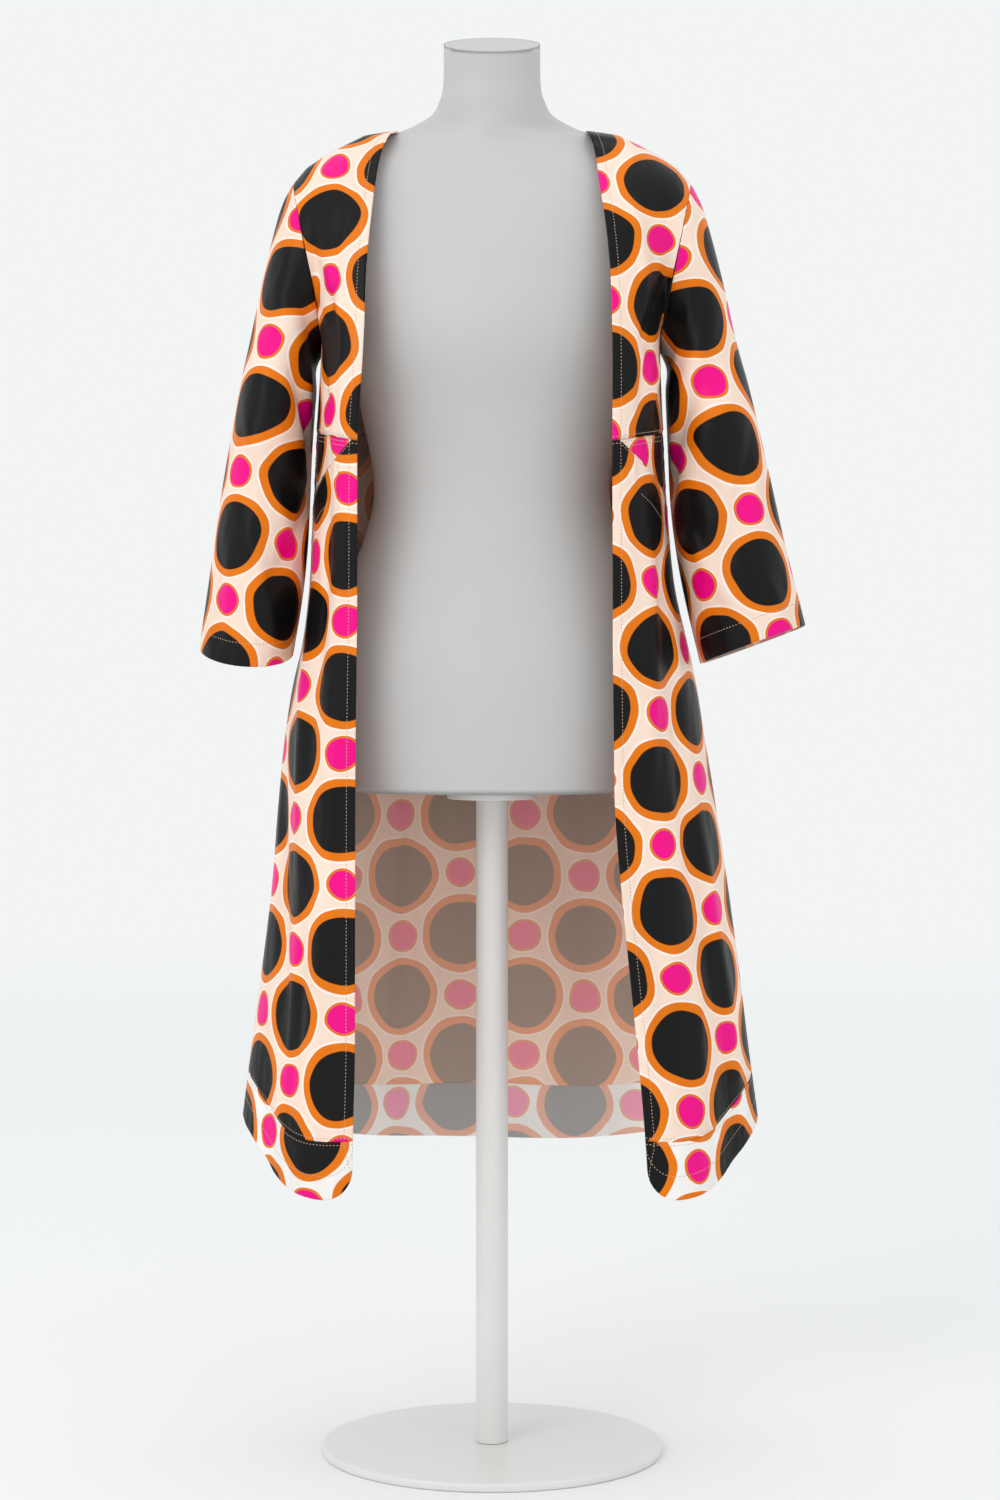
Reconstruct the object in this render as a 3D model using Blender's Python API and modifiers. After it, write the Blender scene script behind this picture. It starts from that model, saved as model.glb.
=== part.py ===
"""Open-front duster coat of printed satin, worn by a limbless dress form on a round stand.

Metres, +Z up, the coat's front towards -Y, its wearer's right towards -X. The origin is the middle of
the base's underside. Each cloth panel is a grid of rows down the cloth and stations across it, laid on
the inside of the cloth and thickened outwards.
"""

import bmesh
import bpy
import numpy as np


def table(names, rows):
    """Named columns of a short table, one row for each section or fold."""
    return dict(zip(names.split(), np.array(rows, float).T))


# Cloth and seams
CLOTH = 0.0016
SEAM = 0.0004
REST_GAP = 0.0004

# Levels of the coat
WAIST_FRONT = 1.004
WAIST_SIDE = 1.018
HEM_FRONT = 0.271
HEM_BACK = 0.285
HEM_SIDE_RISE = 0.068
HEM_SWEEP = 1.4
HEM_CORNER = 0.030
BAND_DEPTH = 0.058
BAND_SIDE_DEPTH = 0.044
POCKET_START = 0.08
POCKET_DROP = 0.082
POCKET_TUCK = 0.015

# Line of the side seams and shoulder seams, front to back
SEAM_LINE = 0.006

# Inside of the coat below the waist: half widths at the side seams, front edges, depths at the front
# edges and at the centre back
BODY = table("height side_right side_left edge_right edge_left front back", (
    (0.230, 0.2530, 0.2695, 0.1350, 0.1535, 0.134, 0.188),
    (0.335, 0.2440, 0.2610, 0.1335, 0.1475, 0.130, 0.180),
    (0.400, 0.2365, 0.2530, 0.1320, 0.1420, 0.127, 0.174),
    (0.480, 0.2265, 0.2440, 0.1318, 0.1340, 0.124, 0.167),
    (0.560, 0.2175, 0.2340, 0.1318, 0.1260, 0.121, 0.160),
    (0.650, 0.2110, 0.2210, 0.1318, 0.1190, 0.118, 0.150),
    (0.720, 0.2045, 0.2100, 0.1315, 0.1180, 0.116, 0.141),
    (0.765, 0.1975, 0.2030, 0.1310, 0.1175, 0.115, 0.135),
    (0.805, 0.1885, 0.1945, 0.1305, 0.1170, 0.115, 0.130),
    (0.860, 0.1815, 0.1820, 0.1300, 0.1170, 0.115, 0.124),
    (0.920, 0.1785, 0.1755, 0.1300, 0.1168, 0.116, 0.119),
    (0.970, 0.1765, 0.1725, 0.1300, 0.1165, 0.117, 0.115),
    (1.018, 0.1740, 0.1700, 0.1295, 0.1165, 0.118, 0.112),
    (1.060, 0.1695, 0.1670, 0.1280, 0.1165, 0.118, 0.112),
    (1.105, 0.1640, 0.1640, 0.1240, 0.1165, 0.116, 0.114),
))

# Front edges from the waist seam to the neck point
EDGE = table("height edge_right edge_left front", (
    (1.004, 0.1300, 0.1165, 0.118),
    (1.110, 0.1235, 0.1165, 0.116),
    (1.174, 0.1215, 0.1146, 0.106),
    (1.221, 0.1178, 0.1104, 0.090),
    (1.262, 0.1137, 0.1050, 0.067),
    (1.283, 0.1110, 0.1030, 0.051),
    (1.303, 0.1055, 0.0995, 0.035),
    (1.3145, 0.0990, 0.0955, 0.017),
    (1.319, 0.0935, 0.0935, -SEAM_LINE),
))

# Back neckline: the height that the back's surface would reach at the middle, and the share of that rise
# that is left below the neckline
NAPE_HEIGHT = 1.323
NECK_CUT = 0.80

# How the upper panels rise from the waist and lean over the shoulder, on the front, and how closely the
# armhole and the front edge keep their own line
BODICE_LIFT = np.array([0.0, 0.0, 0.32])
SHOULDER_LEAN = np.array([0.0, 0.32, 0.03])
EDGE_HUG = 3

# Shoulder seams, on the inside of the cloth
SHOULDER = table("out height", (
    (0.0935, 1.3190),
    (0.1250, 1.3145),
    (0.1470, 1.3040),
    (0.1700, 1.2910),
    (0.1840, 1.2815),
    (0.1980, 1.2650),
))

# Sleeves, on the inside of the cloth: a ring for each row, from the armhole to the cuff, through an outer
# and an inner point, with half its depth, its middle front to back and how far its front hangs lower
SLEEVE_COLUMNS = "outer_out outer_height inner_out inner_height depth middle dip"
SLEEVE_RIGHT = table(SLEEVE_COLUMNS, (
    (0.1980, 1.265, 0.1640, 1.105, 0.0680, SEAM_LINE, 0.000),
    (0.2090, 1.243, 0.1770, 1.082, 0.0675, 0.005, 0.000),
    (0.2185, 1.209, 0.1805, 1.058, 0.0670, 0.003, 0.000),
    (0.2295, 1.161, 0.1832, 1.030, 0.0660, 0.000, 0.000),
    (0.2410, 1.104, 0.1855, 0.990, 0.0650, -0.004, 0.000),
    (0.2545, 1.035, 0.1870, 0.945, 0.0630, -0.009, 0.002),
    (0.2670, 0.962, 0.1885, 0.900, 0.0620, -0.013, 0.004),
    (0.2775, 0.888, 0.1910, 0.850, 0.0610, -0.017, 0.008),
    (0.2895, 0.803, 0.1990, 0.795, 0.0600, -0.020, 0.014),
))
SLEEVE_LEFT = table(SLEEVE_COLUMNS, (
    (0.1980, 1.265, 0.1640, 1.105, 0.0680, SEAM_LINE, 0.000),
    (0.2090, 1.243, 0.1760, 1.082, 0.0675, 0.005, 0.000),
    (0.2190, 1.209, 0.1785, 1.058, 0.0670, 0.003, 0.000),
    (0.2310, 1.161, 0.1800, 1.030, 0.0660, 0.000, 0.000),
    (0.2445, 1.100, 0.1815, 0.990, 0.0650, -0.004, 0.000),
    (0.2600, 1.040, 0.1835, 0.945, 0.0640, -0.009, 0.000),
    (0.2760, 0.970, 0.1880, 0.900, 0.0630, -0.013, 0.000),
    (0.2915, 0.900, 0.1945, 0.850, 0.0620, -0.016, -0.002),
    (0.3105, 0.824, 0.2085, 0.787, 0.0620, -0.018, -0.004),
))
ARMHOLE_GAP = 0.0013
UNDERARM_GAP = 0.0060
UNDERARM_SHARE = 0.28
UNDERARM_SPLIT = 0.003
GAP_FADE = 2.0

# Soft folds of the skirt: turn is 0 at the centre back, 1 at the side seams and 2 at the front edges,
# negative on the wearer's right; depth is reached at the hem, top is where the fold runs out
SKIRT_FOLDS = table("turn width depth top", (
    (-1.75, 0.10, 0.004, 0.95),
    (-1.42, 0.13, -0.006, 0.90),
    (-1.10, 0.12, 0.005, 0.80),
    (-0.72, 0.14, 0.010, 0.95),
    (-0.43, 0.13, -0.010, 0.90),
    (-0.16, 0.14, 0.009, 0.98),
    (0.18, 0.15, -0.009, 0.92),
    (0.49, 0.14, 0.011, 0.96),
    (0.80, 0.12, -0.006, 0.85),
    (1.14, 0.12, 0.005, 0.80),
    (1.46, 0.13, -0.006, 0.92),
    (1.76, 0.10, 0.004, 0.88),
))
FOLD_GROWTH = 1.2

# Soft folds of the sleeves: ring along the sleeve, angle round it from the outside over the front
SLEEVE_FOLDS = table("ring angle along round depth", (
    (3.6, 80.0, 0.40, 45.0, -0.0030),
    (4.5, 60.0, 0.45, 50.0, 0.0028),
    (5.4, 95.0, 0.40, 40.0, -0.0026),
    (4.2, 290.0, 0.50, 45.0, -0.0030),
    (5.3, 275.0, 0.45, 45.0, 0.0028),
))

# Dress form below the shoulder line, and its neck above: half width, depths, middle front to back, and
# thinness towards the sides (1 is an ellipse, more is a bell)
FORM_COLUMNS = "height half_width front back middle thin"
FORM_BODY = table(FORM_COLUMNS, (
    (0.660, 0.152, 0.098, 0.100, 0.000, 0.90),
    (0.700, 0.158, 0.102, 0.106, 0.000, 0.90),
    (0.780, 0.162, 0.104, 0.112, 0.000, 0.90),
    (0.860, 0.146, 0.096, 0.096, 0.000, 0.90),
    (0.950, 0.119, 0.084, 0.076, 0.000, 0.90),
    (1.030, 0.130, 0.093, 0.080, 0.000, 0.90),
    (1.090, 0.146, 0.112, 0.086, 0.000, 0.90),
    (1.130, 0.156, 0.116, 0.089, 0.001, 0.95),
    (1.180, 0.174, 0.105, 0.089, 0.002, 1.00),
    (1.225, 0.186, 0.089, 0.083, 0.004, 1.05),
    (1.250, 0.1905, 0.077, 0.075, 0.005, 1.15),
))
FORM_SHOULDER = table("front back thin", (
    (0.050, 0.043, 3.5),
    (0.050, 0.042, 4.2),
    (0.051, 0.044, 2.9),
    (0.056, 0.052, 1.9),
    (0.061, 0.060, 1.6),
    (0.069, 0.068, 1.3),
))
FORM_NECK = table(FORM_COLUMNS, (
    (1.3340, 0.0630, 0.0490, 0.0450, 0.005, 1.50),
    (1.3490, 0.0535, 0.0480, 0.0460, 0.003, 1.05),
    (1.3660, 0.0495, 0.0465, 0.0455, 0.001, 1.00),
    (1.4060, 0.0490, 0.0470, 0.0470, -0.003, 1.00),
))
NECK_CAP_SLOPE = 0.30
FORM_SIDES = 40

# Stand
BASE_RADIUS = 0.170
BASE_THICK = 0.009
BASE_ROUND = 0.003
POLE_RADIUS = 0.016
FLANGE_RADIUS = 0.045
FLANGE_THICK = 0.008
STAND_GAP = 0.0003
STAND_SIDES = 48

# Fineness of the grids, the side edge of the panels just short of the seam, and the welding distance
FRONT_STATIONS = np.array([0.0, 0.03, 0.08, 0.16, 0.27, 0.40, 0.55, 0.70, 0.85, 1.0])
POCKET_STATIONS = FRONT_STATIONS[FRONT_STATIONS >= POCKET_START]
BODICE_STATIONS = np.linspace(0.0, 1.0, 11)
SIDE_SEAM_ROWS = np.linspace(0.0, UNDERARM_SHARE, 4)
ARMHOLE_ROWS = np.linspace(UNDERARM_SHARE, 1.0, 10)
BODICE_ROWS = np.concatenate([SIDE_SEAM_ROWS, ARMHOLE_ROWS[1:]])
SKIRT_ROWS = np.linspace(0.0, 1.0, 17)
POCKET_ROWS = np.linspace(0.0, 1.0, 5)
BAND_ROWS = np.linspace(0.0, 1.0, 4)
SLEEVE_RINGS = 17
SLEEVE_SIDES = 24
SIDE_END = 1.0 - 0.0009
CENTRE_START = 0.0006
WELD = 1e-6

SIDES = {"right": -1.0, "left": 1.0}


def smooth(xs, ys, x):
    """Smooth curve through the points xs, ys, read at x."""
    slopes = np.gradient(ys, xs)
    i = np.clip(np.searchsorted(xs, x) - 1, 0, len(xs) - 2)
    span = xs[i + 1] - xs[i]
    u = (x - xs[i]) / span
    from_start = (1 + 2 * u) * (1 - u) ** 2 * ys[i] + u * (1 - u) ** 2 * span * slopes[i]
    from_end = u ** 2 * (3 - 2 * u) * ys[i + 1] + u ** 2 * (u - 1) * span * slopes[i + 1]
    return from_start + from_end


def read(columns, name, height):
    """A table's column, read at a height."""
    return smooth(columns["height"], columns[name], height)


def along(points, shares):
    """Points on a polyline at the given shares of its length."""
    steps = np.linalg.norm(np.diff(points, axis=0), axis=1)
    length = np.concatenate([[0.0], np.cumsum(steps)])
    return np.stack([np.interp(shares * length[-1], length, points[:, k]) for k in range(3)], axis=-1)


def fold_height(turn, height):
    """How far the skirt's folds stand out at a turn and a height."""
    out = np.zeros(np.broadcast(turn, height).shape)
    for where, width, depth, top in zip(*SKIRT_FOLDS.values()):
        grown = np.clip((top - height) / (top - HEM_FRONT), 0.0, 1.0) ** FOLD_GROWTH
        out += depth * grown * np.exp(-((turn - where) / width) ** 2)
    return out


def body_point(side, front, s, height, inset=0.0):
    """Inside of the coat's body: a quarter ellipse from the front edge, or the centre back, at s = 0 to the
    side seam at s = 1, pushed out along its own normal by the folds."""
    name = "right" if side < 0 else "left"
    half_width = read(BODY, "side_" + name, height)
    start = read(BODY, "edge_" + name, height) if front else np.zeros_like(height)
    depth = read(BODY, "front" if front else "back", height) + (SEAM_LINE if front else -SEAM_LINE)
    turn = np.pi / 2 * s
    facing = -1.0 if front else 1.0
    across = half_width - start
    normal_x = depth * np.sin(turn)
    normal_y = across * np.cos(turn)
    size = np.hypot(normal_x, normal_y)
    stands = fold_height(side * (2.0 - s if front else s), height) - inset
    x = start + across * np.sin(turn) + stands * normal_x / size
    y = SEAM_LINE + facing * (depth * np.cos(turn) + stands * normal_y / size)
    return np.stack(np.broadcast_arrays(side * x, y, height), axis=-1)


def waist(s):
    """Height of the waist seam, rising from the front edge to the side."""
    return WAIST_FRONT + (WAIST_SIDE - WAIST_FRONT) * s


def pocket_mouth(s):
    """Height of the front skirt's upper edge: the waist seam, then the slanted pocket mouth."""
    return waist(s) - POCKET_DROP * np.clip((s - POCKET_START) / (1.0 - POCKET_START), 0.0, 1.0)


def hem_level(front, s):
    """Height of the hem before its corner is rounded: a shirt-tail curve that rises to the side seam."""
    low = HEM_FRONT if front else HEM_BACK
    return low + (HEM_FRONT + HEM_SIDE_RISE - low) * np.sin(np.pi / 2 * s ** HEM_SWEEP) ** 2


def hem(side, front, s):
    """Height of the hem, with a quarter circle at the corner of the front edge."""
    if not front:
        return hem_level(front, s)
    name = "right" if side < 0 else "left"
    across = read(BODY, "side_" + name, HEM_FRONT) - read(BODY, "edge_" + name, HEM_FRONT)
    from_edge = np.clip(across * np.sin(np.pi / 2 * s), 0.0, HEM_CORNER)
    corner = HEM_CORNER - np.sqrt(HEM_CORNER ** 2 - (HEM_CORNER - from_edge) ** 2)
    return hem_level(front, s) + corner


def band_seam(front, s):
    """Height of the seam between a panel and its hem band, nearer to the hem at the side."""
    return hem_level(front, s) + BAND_DEPTH + (BAND_SIDE_DEPTH - BAND_DEPTH) * s


def strip(side, front, stations, shares, upper, lower, inset=0.0):
    """Grid on the body between two height curves, rows from the upper one to the lower one."""
    s = stations[None, :]
    v = shares[:, None]
    height = upper[None, :] * (1 - v) + lower[None, :] * v
    return body_point(side, front, np.broadcast_to(s, height.shape), height, inset)


def sleeve_ring(columns, rings, angles):
    """Inside of a sleeve: ellipses through an outer and an inner point, angle 0 outside, 90 in front."""
    index = np.arange(len(columns["depth"]), dtype=float)
    at = {name: smooth(index, values, rings)[:, None] for name, values in columns.items()}
    c = np.cos(angles)[None, :]
    s = np.sin(angles)[None, :]
    fold = np.zeros((len(rings), len(angles)))
    for ring, angle, spread, turn, depth in zip(*SLEEVE_FOLDS.values()):
        off = np.angle(np.exp(1j * (angles - np.radians(angle))))[None, :] / np.radians(turn)
        fold += depth * np.exp(-((rings[:, None] - ring) / spread) ** 2 - off ** 2)
    wide = (at["outer_out"] - at["inner_out"]) / 2
    tall = (at["outer_height"] - at["inner_height"]) / 2
    grown = 1 + fold / np.hypot(wide, tall)
    x = (at["outer_out"] + at["inner_out"]) / 2 + wide * c * grown
    y = at["middle"] - (at["depth"] + fold) * s
    z = (at["outer_height"] + at["inner_height"]) / 2 + tall * c * grown - at["dip"] * s
    return np.stack([x, y, z], axis=-1)


def armhole(side, front, shares):
    """Armhole from the underarm at share 0 to the shoulder tip at share 1, on the body's front or back."""
    shares = np.maximum(shares, UNDERARM_SPLIT)
    angles = np.pi * (1 - shares) if front else np.pi * (1 + shares)
    ring = sleeve_ring(SLEEVE_LEFT, np.zeros(1), angles)[0]
    return ring * np.array([side, 1.0, 1.0])


def side_and_armhole(side, front, shares):
    """Outer edge of a bodice: up the side seam, then round the armhole to the shoulder tip."""
    up = np.clip(shares / UNDERARM_SHARE, 0.0, 1.0)
    round_share = np.clip((shares - UNDERARM_SHARE) / (1 - UNDERARM_SHARE), 0.0, 1.0)
    underarm = SLEEVE_LEFT["inner_height"][0]
    seam = body_point(side, front, np.full_like(up, SIDE_END), WAIST_SIDE + (underarm - WAIST_SIDE) * up)
    return np.where((shares < UNDERARM_SHARE)[:, None], seam, armhole(side, front, round_share))


def rise(bottom, top, facing, shares):
    """Curves up the cloth from the bottom points to the top points, leaving upwards and leaning over the
    shoulder; facing is 1 on the front and -1 on the back."""
    u = shares[..., None]
    lean = SHOULDER_LEAN * np.array([1.0, facing, 1.0])
    leave = (1 + 2 * u) * (1 - u) ** 2 * bottom[None] + u * (1 - u) ** 2 * BODICE_LIFT
    arrive = u ** 2 * (3 - 2 * u) * top[None] + u ** 2 * (u - 1) * lean
    return leave + arrive


def drawn_to(points, stations, start, end):
    """Surface drawn to its start and end edges, each edge's own shape fading out across the cloth."""
    s = stations[None, :, None]
    to_end = s ** EDGE_HUG * (end - points[:, -1])[:, None]
    if start is None:
        return points + to_end
    return points + to_end + (1 - s) ** EDGE_HUG * (start - points[:, 0])[:, None]


def shoulder_seam(side, front, shares):
    """Shoulder seam from the neck point to the tip, on the front's or the back's side of it."""
    index = shares * (len(SHOULDER["out"]) - 1)
    rows = np.arange(len(SHOULDER["out"]))
    x = np.interp(index, rows, SHOULDER["out"])
    z = np.interp(index, rows, SHOULDER["height"])
    y = SEAM_LINE + (-SEAM / 2 if front else SEAM / 2)
    return np.stack([side * x, np.full_like(x, y), z], axis=-1)


def bodice_front(side):
    """Upper front: waist seam below, shoulder seam above, front edge and armhole at its sides."""
    s = BODICE_STATIONS
    bottom = body_point(side, True, s * SIDE_END, waist(s) + SEAM / 2)
    name = "right" if side < 0 else "left"
    points = np.stack([side * EDGE["edge_" + name], -EDGE["front"], EDGE["height"]], axis=-1)
    edge = along(points, BODICE_ROWS)
    edge[0] = bottom[0]
    top = shoulder_seam(side, True, s)
    edge[-1] = top[0]
    outer = side_and_armhole(side, True, BODICE_ROWS)
    outer[0] = bottom[-1]
    outer[-1] = top[-1]
    points = rise(bottom, top, 1.0, np.repeat(BODICE_ROWS[:, None], len(s), axis=1))
    return drawn_to(points, s, edge, outer)


def back_bodice_half(side):
    """One side of the upper back: a surface from the waist seam over the shoulder, cut off along the
    neckline, a quarter ellipse across the inner half of the stations."""
    s = BODICE_STATIONS
    bottom = body_point(side, False, s * SIDE_END, np.full_like(s, WAIST_SIDE + SEAM / 2))
    half = len(s) // 2 + 1
    shoulder = shoulder_seam(side, False, np.linspace(0.0, 1.0, half))
    nape = np.array([0.0, shoulder[0, 1], NAPE_HEIGHT])
    top = np.concatenate([np.linspace(nape, shoulder[0], half)[:-1], shoulder])
    cut = 1.0 - (1.0 - NECK_CUT) * np.sqrt(np.clip(1.0 - (2 * s) ** 2, 0.0, 1.0))
    points = rise(bottom, top, -1.0, BODICE_ROWS[:, None] * cut[None, :])
    outer = side_and_armhole(side, False, BODICE_ROWS)
    outer[0] = bottom[-1]
    outer[-1] = top[-1]
    return drawn_to(points, s, None, outer)


def back_skirt(side):
    """One side of the lower back, from the centre back seam to the side seam."""
    s = CENTRE_START + (SIDE_END - CENTRE_START) * BODICE_STATIONS
    level = np.full_like(s, WAIST_SIDE - SEAM / 2)
    return strip(side, False, s, SKIRT_ROWS, level, band_seam(False, s) + SEAM / 2)


def both_halves(half):
    """A piece across the centre back, from its right half and its left half."""
    return np.concatenate([half(-1.0)[:, ::-1], half(1.0)[:, 1:]], axis=1)


def back_band_half(side):
    """One side of the back hem band."""
    s = BODICE_STATIONS * SIDE_END
    return strip(side, False, s, BAND_ROWS, band_seam(False, s) - SEAM / 2, hem(side, False, s))


def skirt_front(side):
    """Lower front, from the waist seam and the pocket mouth to the band seam."""
    s = FRONT_STATIONS * SIDE_END
    return strip(side, True, s, SKIRT_ROWS, pocket_mouth(s) - SEAM / 2, band_seam(True, s) + SEAM / 2)


def band_front(side):
    """Front hem band, down to the rounded hem."""
    s = FRONT_STATIONS * SIDE_END
    return strip(side, True, s, BAND_ROWS, band_seam(True, s) - SEAM / 2, hem(side, True, s))


def pocket_side(side):
    """Hip piece behind the pocket mouth, inside the front by its own thickness and a seam's gap."""
    s = POCKET_STATIONS * SIDE_END
    inset = CLOTH + SEAM
    return strip(side, True, s, POCKET_ROWS, waist(s), pocket_mouth(s) - POCKET_TUCK, inset)


def sleeve(side):
    """Sleeve as a closed tube, standing off the armhole, further at the underarm where both walls face."""
    columns = SLEEVE_RIGHT if side < 0 else SLEEVE_LEFT
    rings = np.linspace(0.0, len(columns["depth"]) - 1, SLEEVE_RINGS)
    angles = np.linspace(0.0, 2 * np.pi, SLEEVE_SIDES + 1)
    points = sleeve_ring(columns, rings, angles)
    below = ((1 - np.cos(angles)) / 2) ** 2
    gap = ARMHOLE_GAP + (UNDERARM_GAP - ARMHOLE_GAP) * below
    points[..., 0] += gap[None, :] * np.exp(-GAP_FADE * rings)[:, None]
    return points * np.array([side, 1.0, 1.0])


def form_rings():
    """Rows of the dress form from its flat bottom to its neck, with the shoulder under the coat's seam."""
    shoulder = {
        "height": SHOULDER["height"] - REST_GAP,
        "half_width": SHOULDER["out"],
        "middle": np.full_like(SHOULDER["out"], SEAM_LINE),
        **FORM_SHOULDER,
    }
    return {
        name: np.concatenate([FORM_BODY[name], shoulder[name][::-1], FORM_NECK[name]])
        for name in FORM_COLUMNS.split()
    }


def form_points():
    """Dress form as rings, x a cosine and y a power of a sine, the neck's top sloping down to the front."""
    rows = {name: values[:, None] for name, values in form_rings().items()}
    angles = np.linspace(0.0, 2 * np.pi, FORM_SIDES + 1)[None, :]
    s = np.sin(angles)
    depth = np.where(s < 0, rows["front"], rows["back"])
    x = rows["half_width"] * np.cos(angles)
    y = rows["middle"] + depth * np.sign(s) * np.abs(s) ** rows["thin"]
    z = np.repeat(rows["height"], FORM_SIDES + 1, axis=1)
    z[-1] += NECK_CAP_SLOPE * y[-1]
    return np.stack([x, y, z], axis=-1)


def material(name, colour, roughness, metallic=0.0):
    """Plain material with one colour."""
    found = bpy.data.materials.new(name)
    found.use_nodes = True
    shader = found.node_tree.nodes["Principled BSDF"]
    shader.inputs["Base Color"].default_value = (*colour, 1.0)
    shader.inputs["Roughness"].default_value = roughness
    shader.inputs["Metallic"].default_value = metallic
    return found


def add_object(name, bm, finish, collection):
    """Mesh object from a bmesh, shaded smooth, in the part's collection."""
    mesh = bpy.data.meshes.new(name)
    bm.to_mesh(mesh)
    bm.free()
    mesh.shade_smooth()
    mesh.materials.append(finish)
    thing = bpy.data.objects.new(name, mesh)
    collection.objects.link(thing)
    return thing


def grid(points):
    """Open surface over a grid of points."""
    bm = bmesh.new()
    rows, stations = points.shape[:2]
    bmesh.ops.create_grid(bm, x_segments=stations - 1, y_segments=rows - 1, size=1.0)
    for vertex, point in zip(bm.verts, points.reshape(-1, 3)):
        vertex.co = point
    bmesh.ops.remove_doubles(bm, verts=bm.verts, dist=WELD)
    bm.normal_update()
    return bm


def add_cloth(name, points, inside, finish, collection):
    """Panel of cloth: an open surface that faces away from the points inside, thickened outwards."""
    bm = grid(points)
    away = (points - inside).reshape(-1, 3)
    normals = np.cross(np.gradient(points, axis=1), np.gradient(points, axis=0)).reshape(-1, 3)
    if (normals * away).sum() < 0:
        bmesh.ops.reverse_faces(bm, faces=bm.faces)
    panel = add_object(name, bm, finish, collection)
    wall = panel.modifiers.new("wall", "SOLIDIFY")
    wall.thickness = CLOTH
    wall.offset = 1.0
    return panel


def add_coat(collection, satin, band):
    """All the pieces of the coat."""
    level = np.array([0.0, 0.0, 1.0])
    for name, side in SIDES.items():
        pieces = {
            "front_bodice_": (bodice_front(side), satin),
            "front_skirt_": (skirt_front(side), satin),
            "pocket_side_": (pocket_side(side), satin),
            "front_hem_band_": (band_front(side), band),
            "back_skirt_": (back_skirt(side), satin),
        }
        for piece, (points, finish) in pieces.items():
            add_cloth(piece + name, points, points * level, finish, collection)
        tube = sleeve(side)
        add_cloth("sleeve_" + name, tube, tube[:, :-1].mean(axis=1, keepdims=True), satin, collection)
    backs = {
        "back_bodice": (back_bodice_half, satin),
        "back_hem_band": (back_band_half, band),
    }
    for name, (half, finish) in backs.items():
        points = both_halves(half)
        add_cloth(name, points, points * level, finish, collection)


def add_form(collection, finish):
    """Dress form, closed flat at the bottom and at the neck."""
    bm = grid(form_points())
    bmesh.ops.holes_fill(bm, edges=[edge for edge in bm.edges if edge.is_boundary], sides=0)
    bmesh.ops.recalc_face_normals(bm, faces=bm.faces)
    add_object("form_torso", bm, finish, collection)


def add_turned(name, radius, bottom, top, finish, collection):
    """Upright cylinder between two heights."""
    bm = bmesh.new()
    bmesh.ops.create_cone(
        bm, cap_ends=True, segments=STAND_SIDES, radius1=radius, radius2=radius, depth=top - bottom
    )
    bmesh.ops.translate(bm, verts=bm.verts, vec=(0.0, 0.0, (top + bottom) / 2))
    return add_object(name, bm, finish, collection)


def add_stand(collection, finish):
    """Base plate, pole and the flange under the dress form."""
    base = add_turned("stand_base", BASE_RADIUS, 0.0, BASE_THICK, finish, collection)
    edge = base.modifiers.new("rounded edge", "BEVEL")
    edge.width = BASE_ROUND
    edge.segments = 2
    flange_top = FORM_BODY["height"][0] - STAND_GAP
    flange_bottom = flange_top - FLANGE_THICK
    pole_bottom = BASE_THICK + STAND_GAP
    pole_top = flange_bottom - STAND_GAP
    add_turned("stand_flange", FLANGE_RADIUS, flange_bottom, flange_top, finish, collection)
    add_turned("stand_pole", POLE_RADIUS, pole_bottom, pole_top, finish, collection)


def main():
    """Clear the scene and build the coat, the dress form and its stand."""
    for thing in list(bpy.data.objects):
        bpy.data.objects.remove(thing, do_unlink=True)
    collection = bpy.data.collections.new("duster_coat_on_dress_form")
    bpy.context.scene.collection.children.link(collection)
    add_coat(
        collection,
        material("printed satin", (0.96, 0.83, 0.74), 0.45),
        material("hem band satin", (0.92, 0.90, 0.89), 0.45),
    )
    add_form(collection, material("pale grey form", (0.68, 0.68, 0.68), 0.55))
    add_stand(collection, material("white painted steel", (0.78, 0.78, 0.78), 0.35))


main()
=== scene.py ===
"""Finished look of an open-front duster coat of printed satin on a dress form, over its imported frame.

Metres, +Z up, the coat's front towards -Y, its wearer's right towards -X. Each panel of cloth is a thin
shell over a grid of points: rows run down the cloth and stations run across it.
"""

import bmesh
import bpy
import numpy as np
from bpy.props import FloatProperty, FloatVectorProperty, PointerProperty
from bpy.types import Operator, Panel, PropertyGroup
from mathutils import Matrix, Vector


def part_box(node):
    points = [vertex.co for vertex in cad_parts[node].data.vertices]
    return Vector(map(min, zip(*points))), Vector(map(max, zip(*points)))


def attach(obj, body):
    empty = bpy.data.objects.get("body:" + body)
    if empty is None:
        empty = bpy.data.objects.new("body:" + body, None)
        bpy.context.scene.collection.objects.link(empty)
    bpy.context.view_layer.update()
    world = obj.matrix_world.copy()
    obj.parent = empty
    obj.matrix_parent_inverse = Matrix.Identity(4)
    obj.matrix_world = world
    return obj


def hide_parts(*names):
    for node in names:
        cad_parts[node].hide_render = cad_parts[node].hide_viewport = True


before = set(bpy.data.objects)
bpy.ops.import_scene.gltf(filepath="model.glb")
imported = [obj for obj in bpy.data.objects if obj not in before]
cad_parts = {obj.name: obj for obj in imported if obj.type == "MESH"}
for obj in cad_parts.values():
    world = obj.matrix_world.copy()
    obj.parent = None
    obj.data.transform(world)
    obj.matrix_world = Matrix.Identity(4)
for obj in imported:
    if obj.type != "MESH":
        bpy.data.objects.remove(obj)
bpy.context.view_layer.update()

bl_info = {
    "name": "Duster coat on a dress form",
    "version": (1, 0, 0),
    "blender": (4, 5, 0),
    "location": "View3D > Sidebar > Duster coat",
    "description": "Dresses the packed frame with a printed satin coat, its dress form and its stand",
    "category": "Object",
}

MM = 0.001


def table(names, rows):
    """Named columns of a short table, one row for each section or fold."""
    return dict(zip(names.split(), np.array(rows, float).T))


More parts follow.
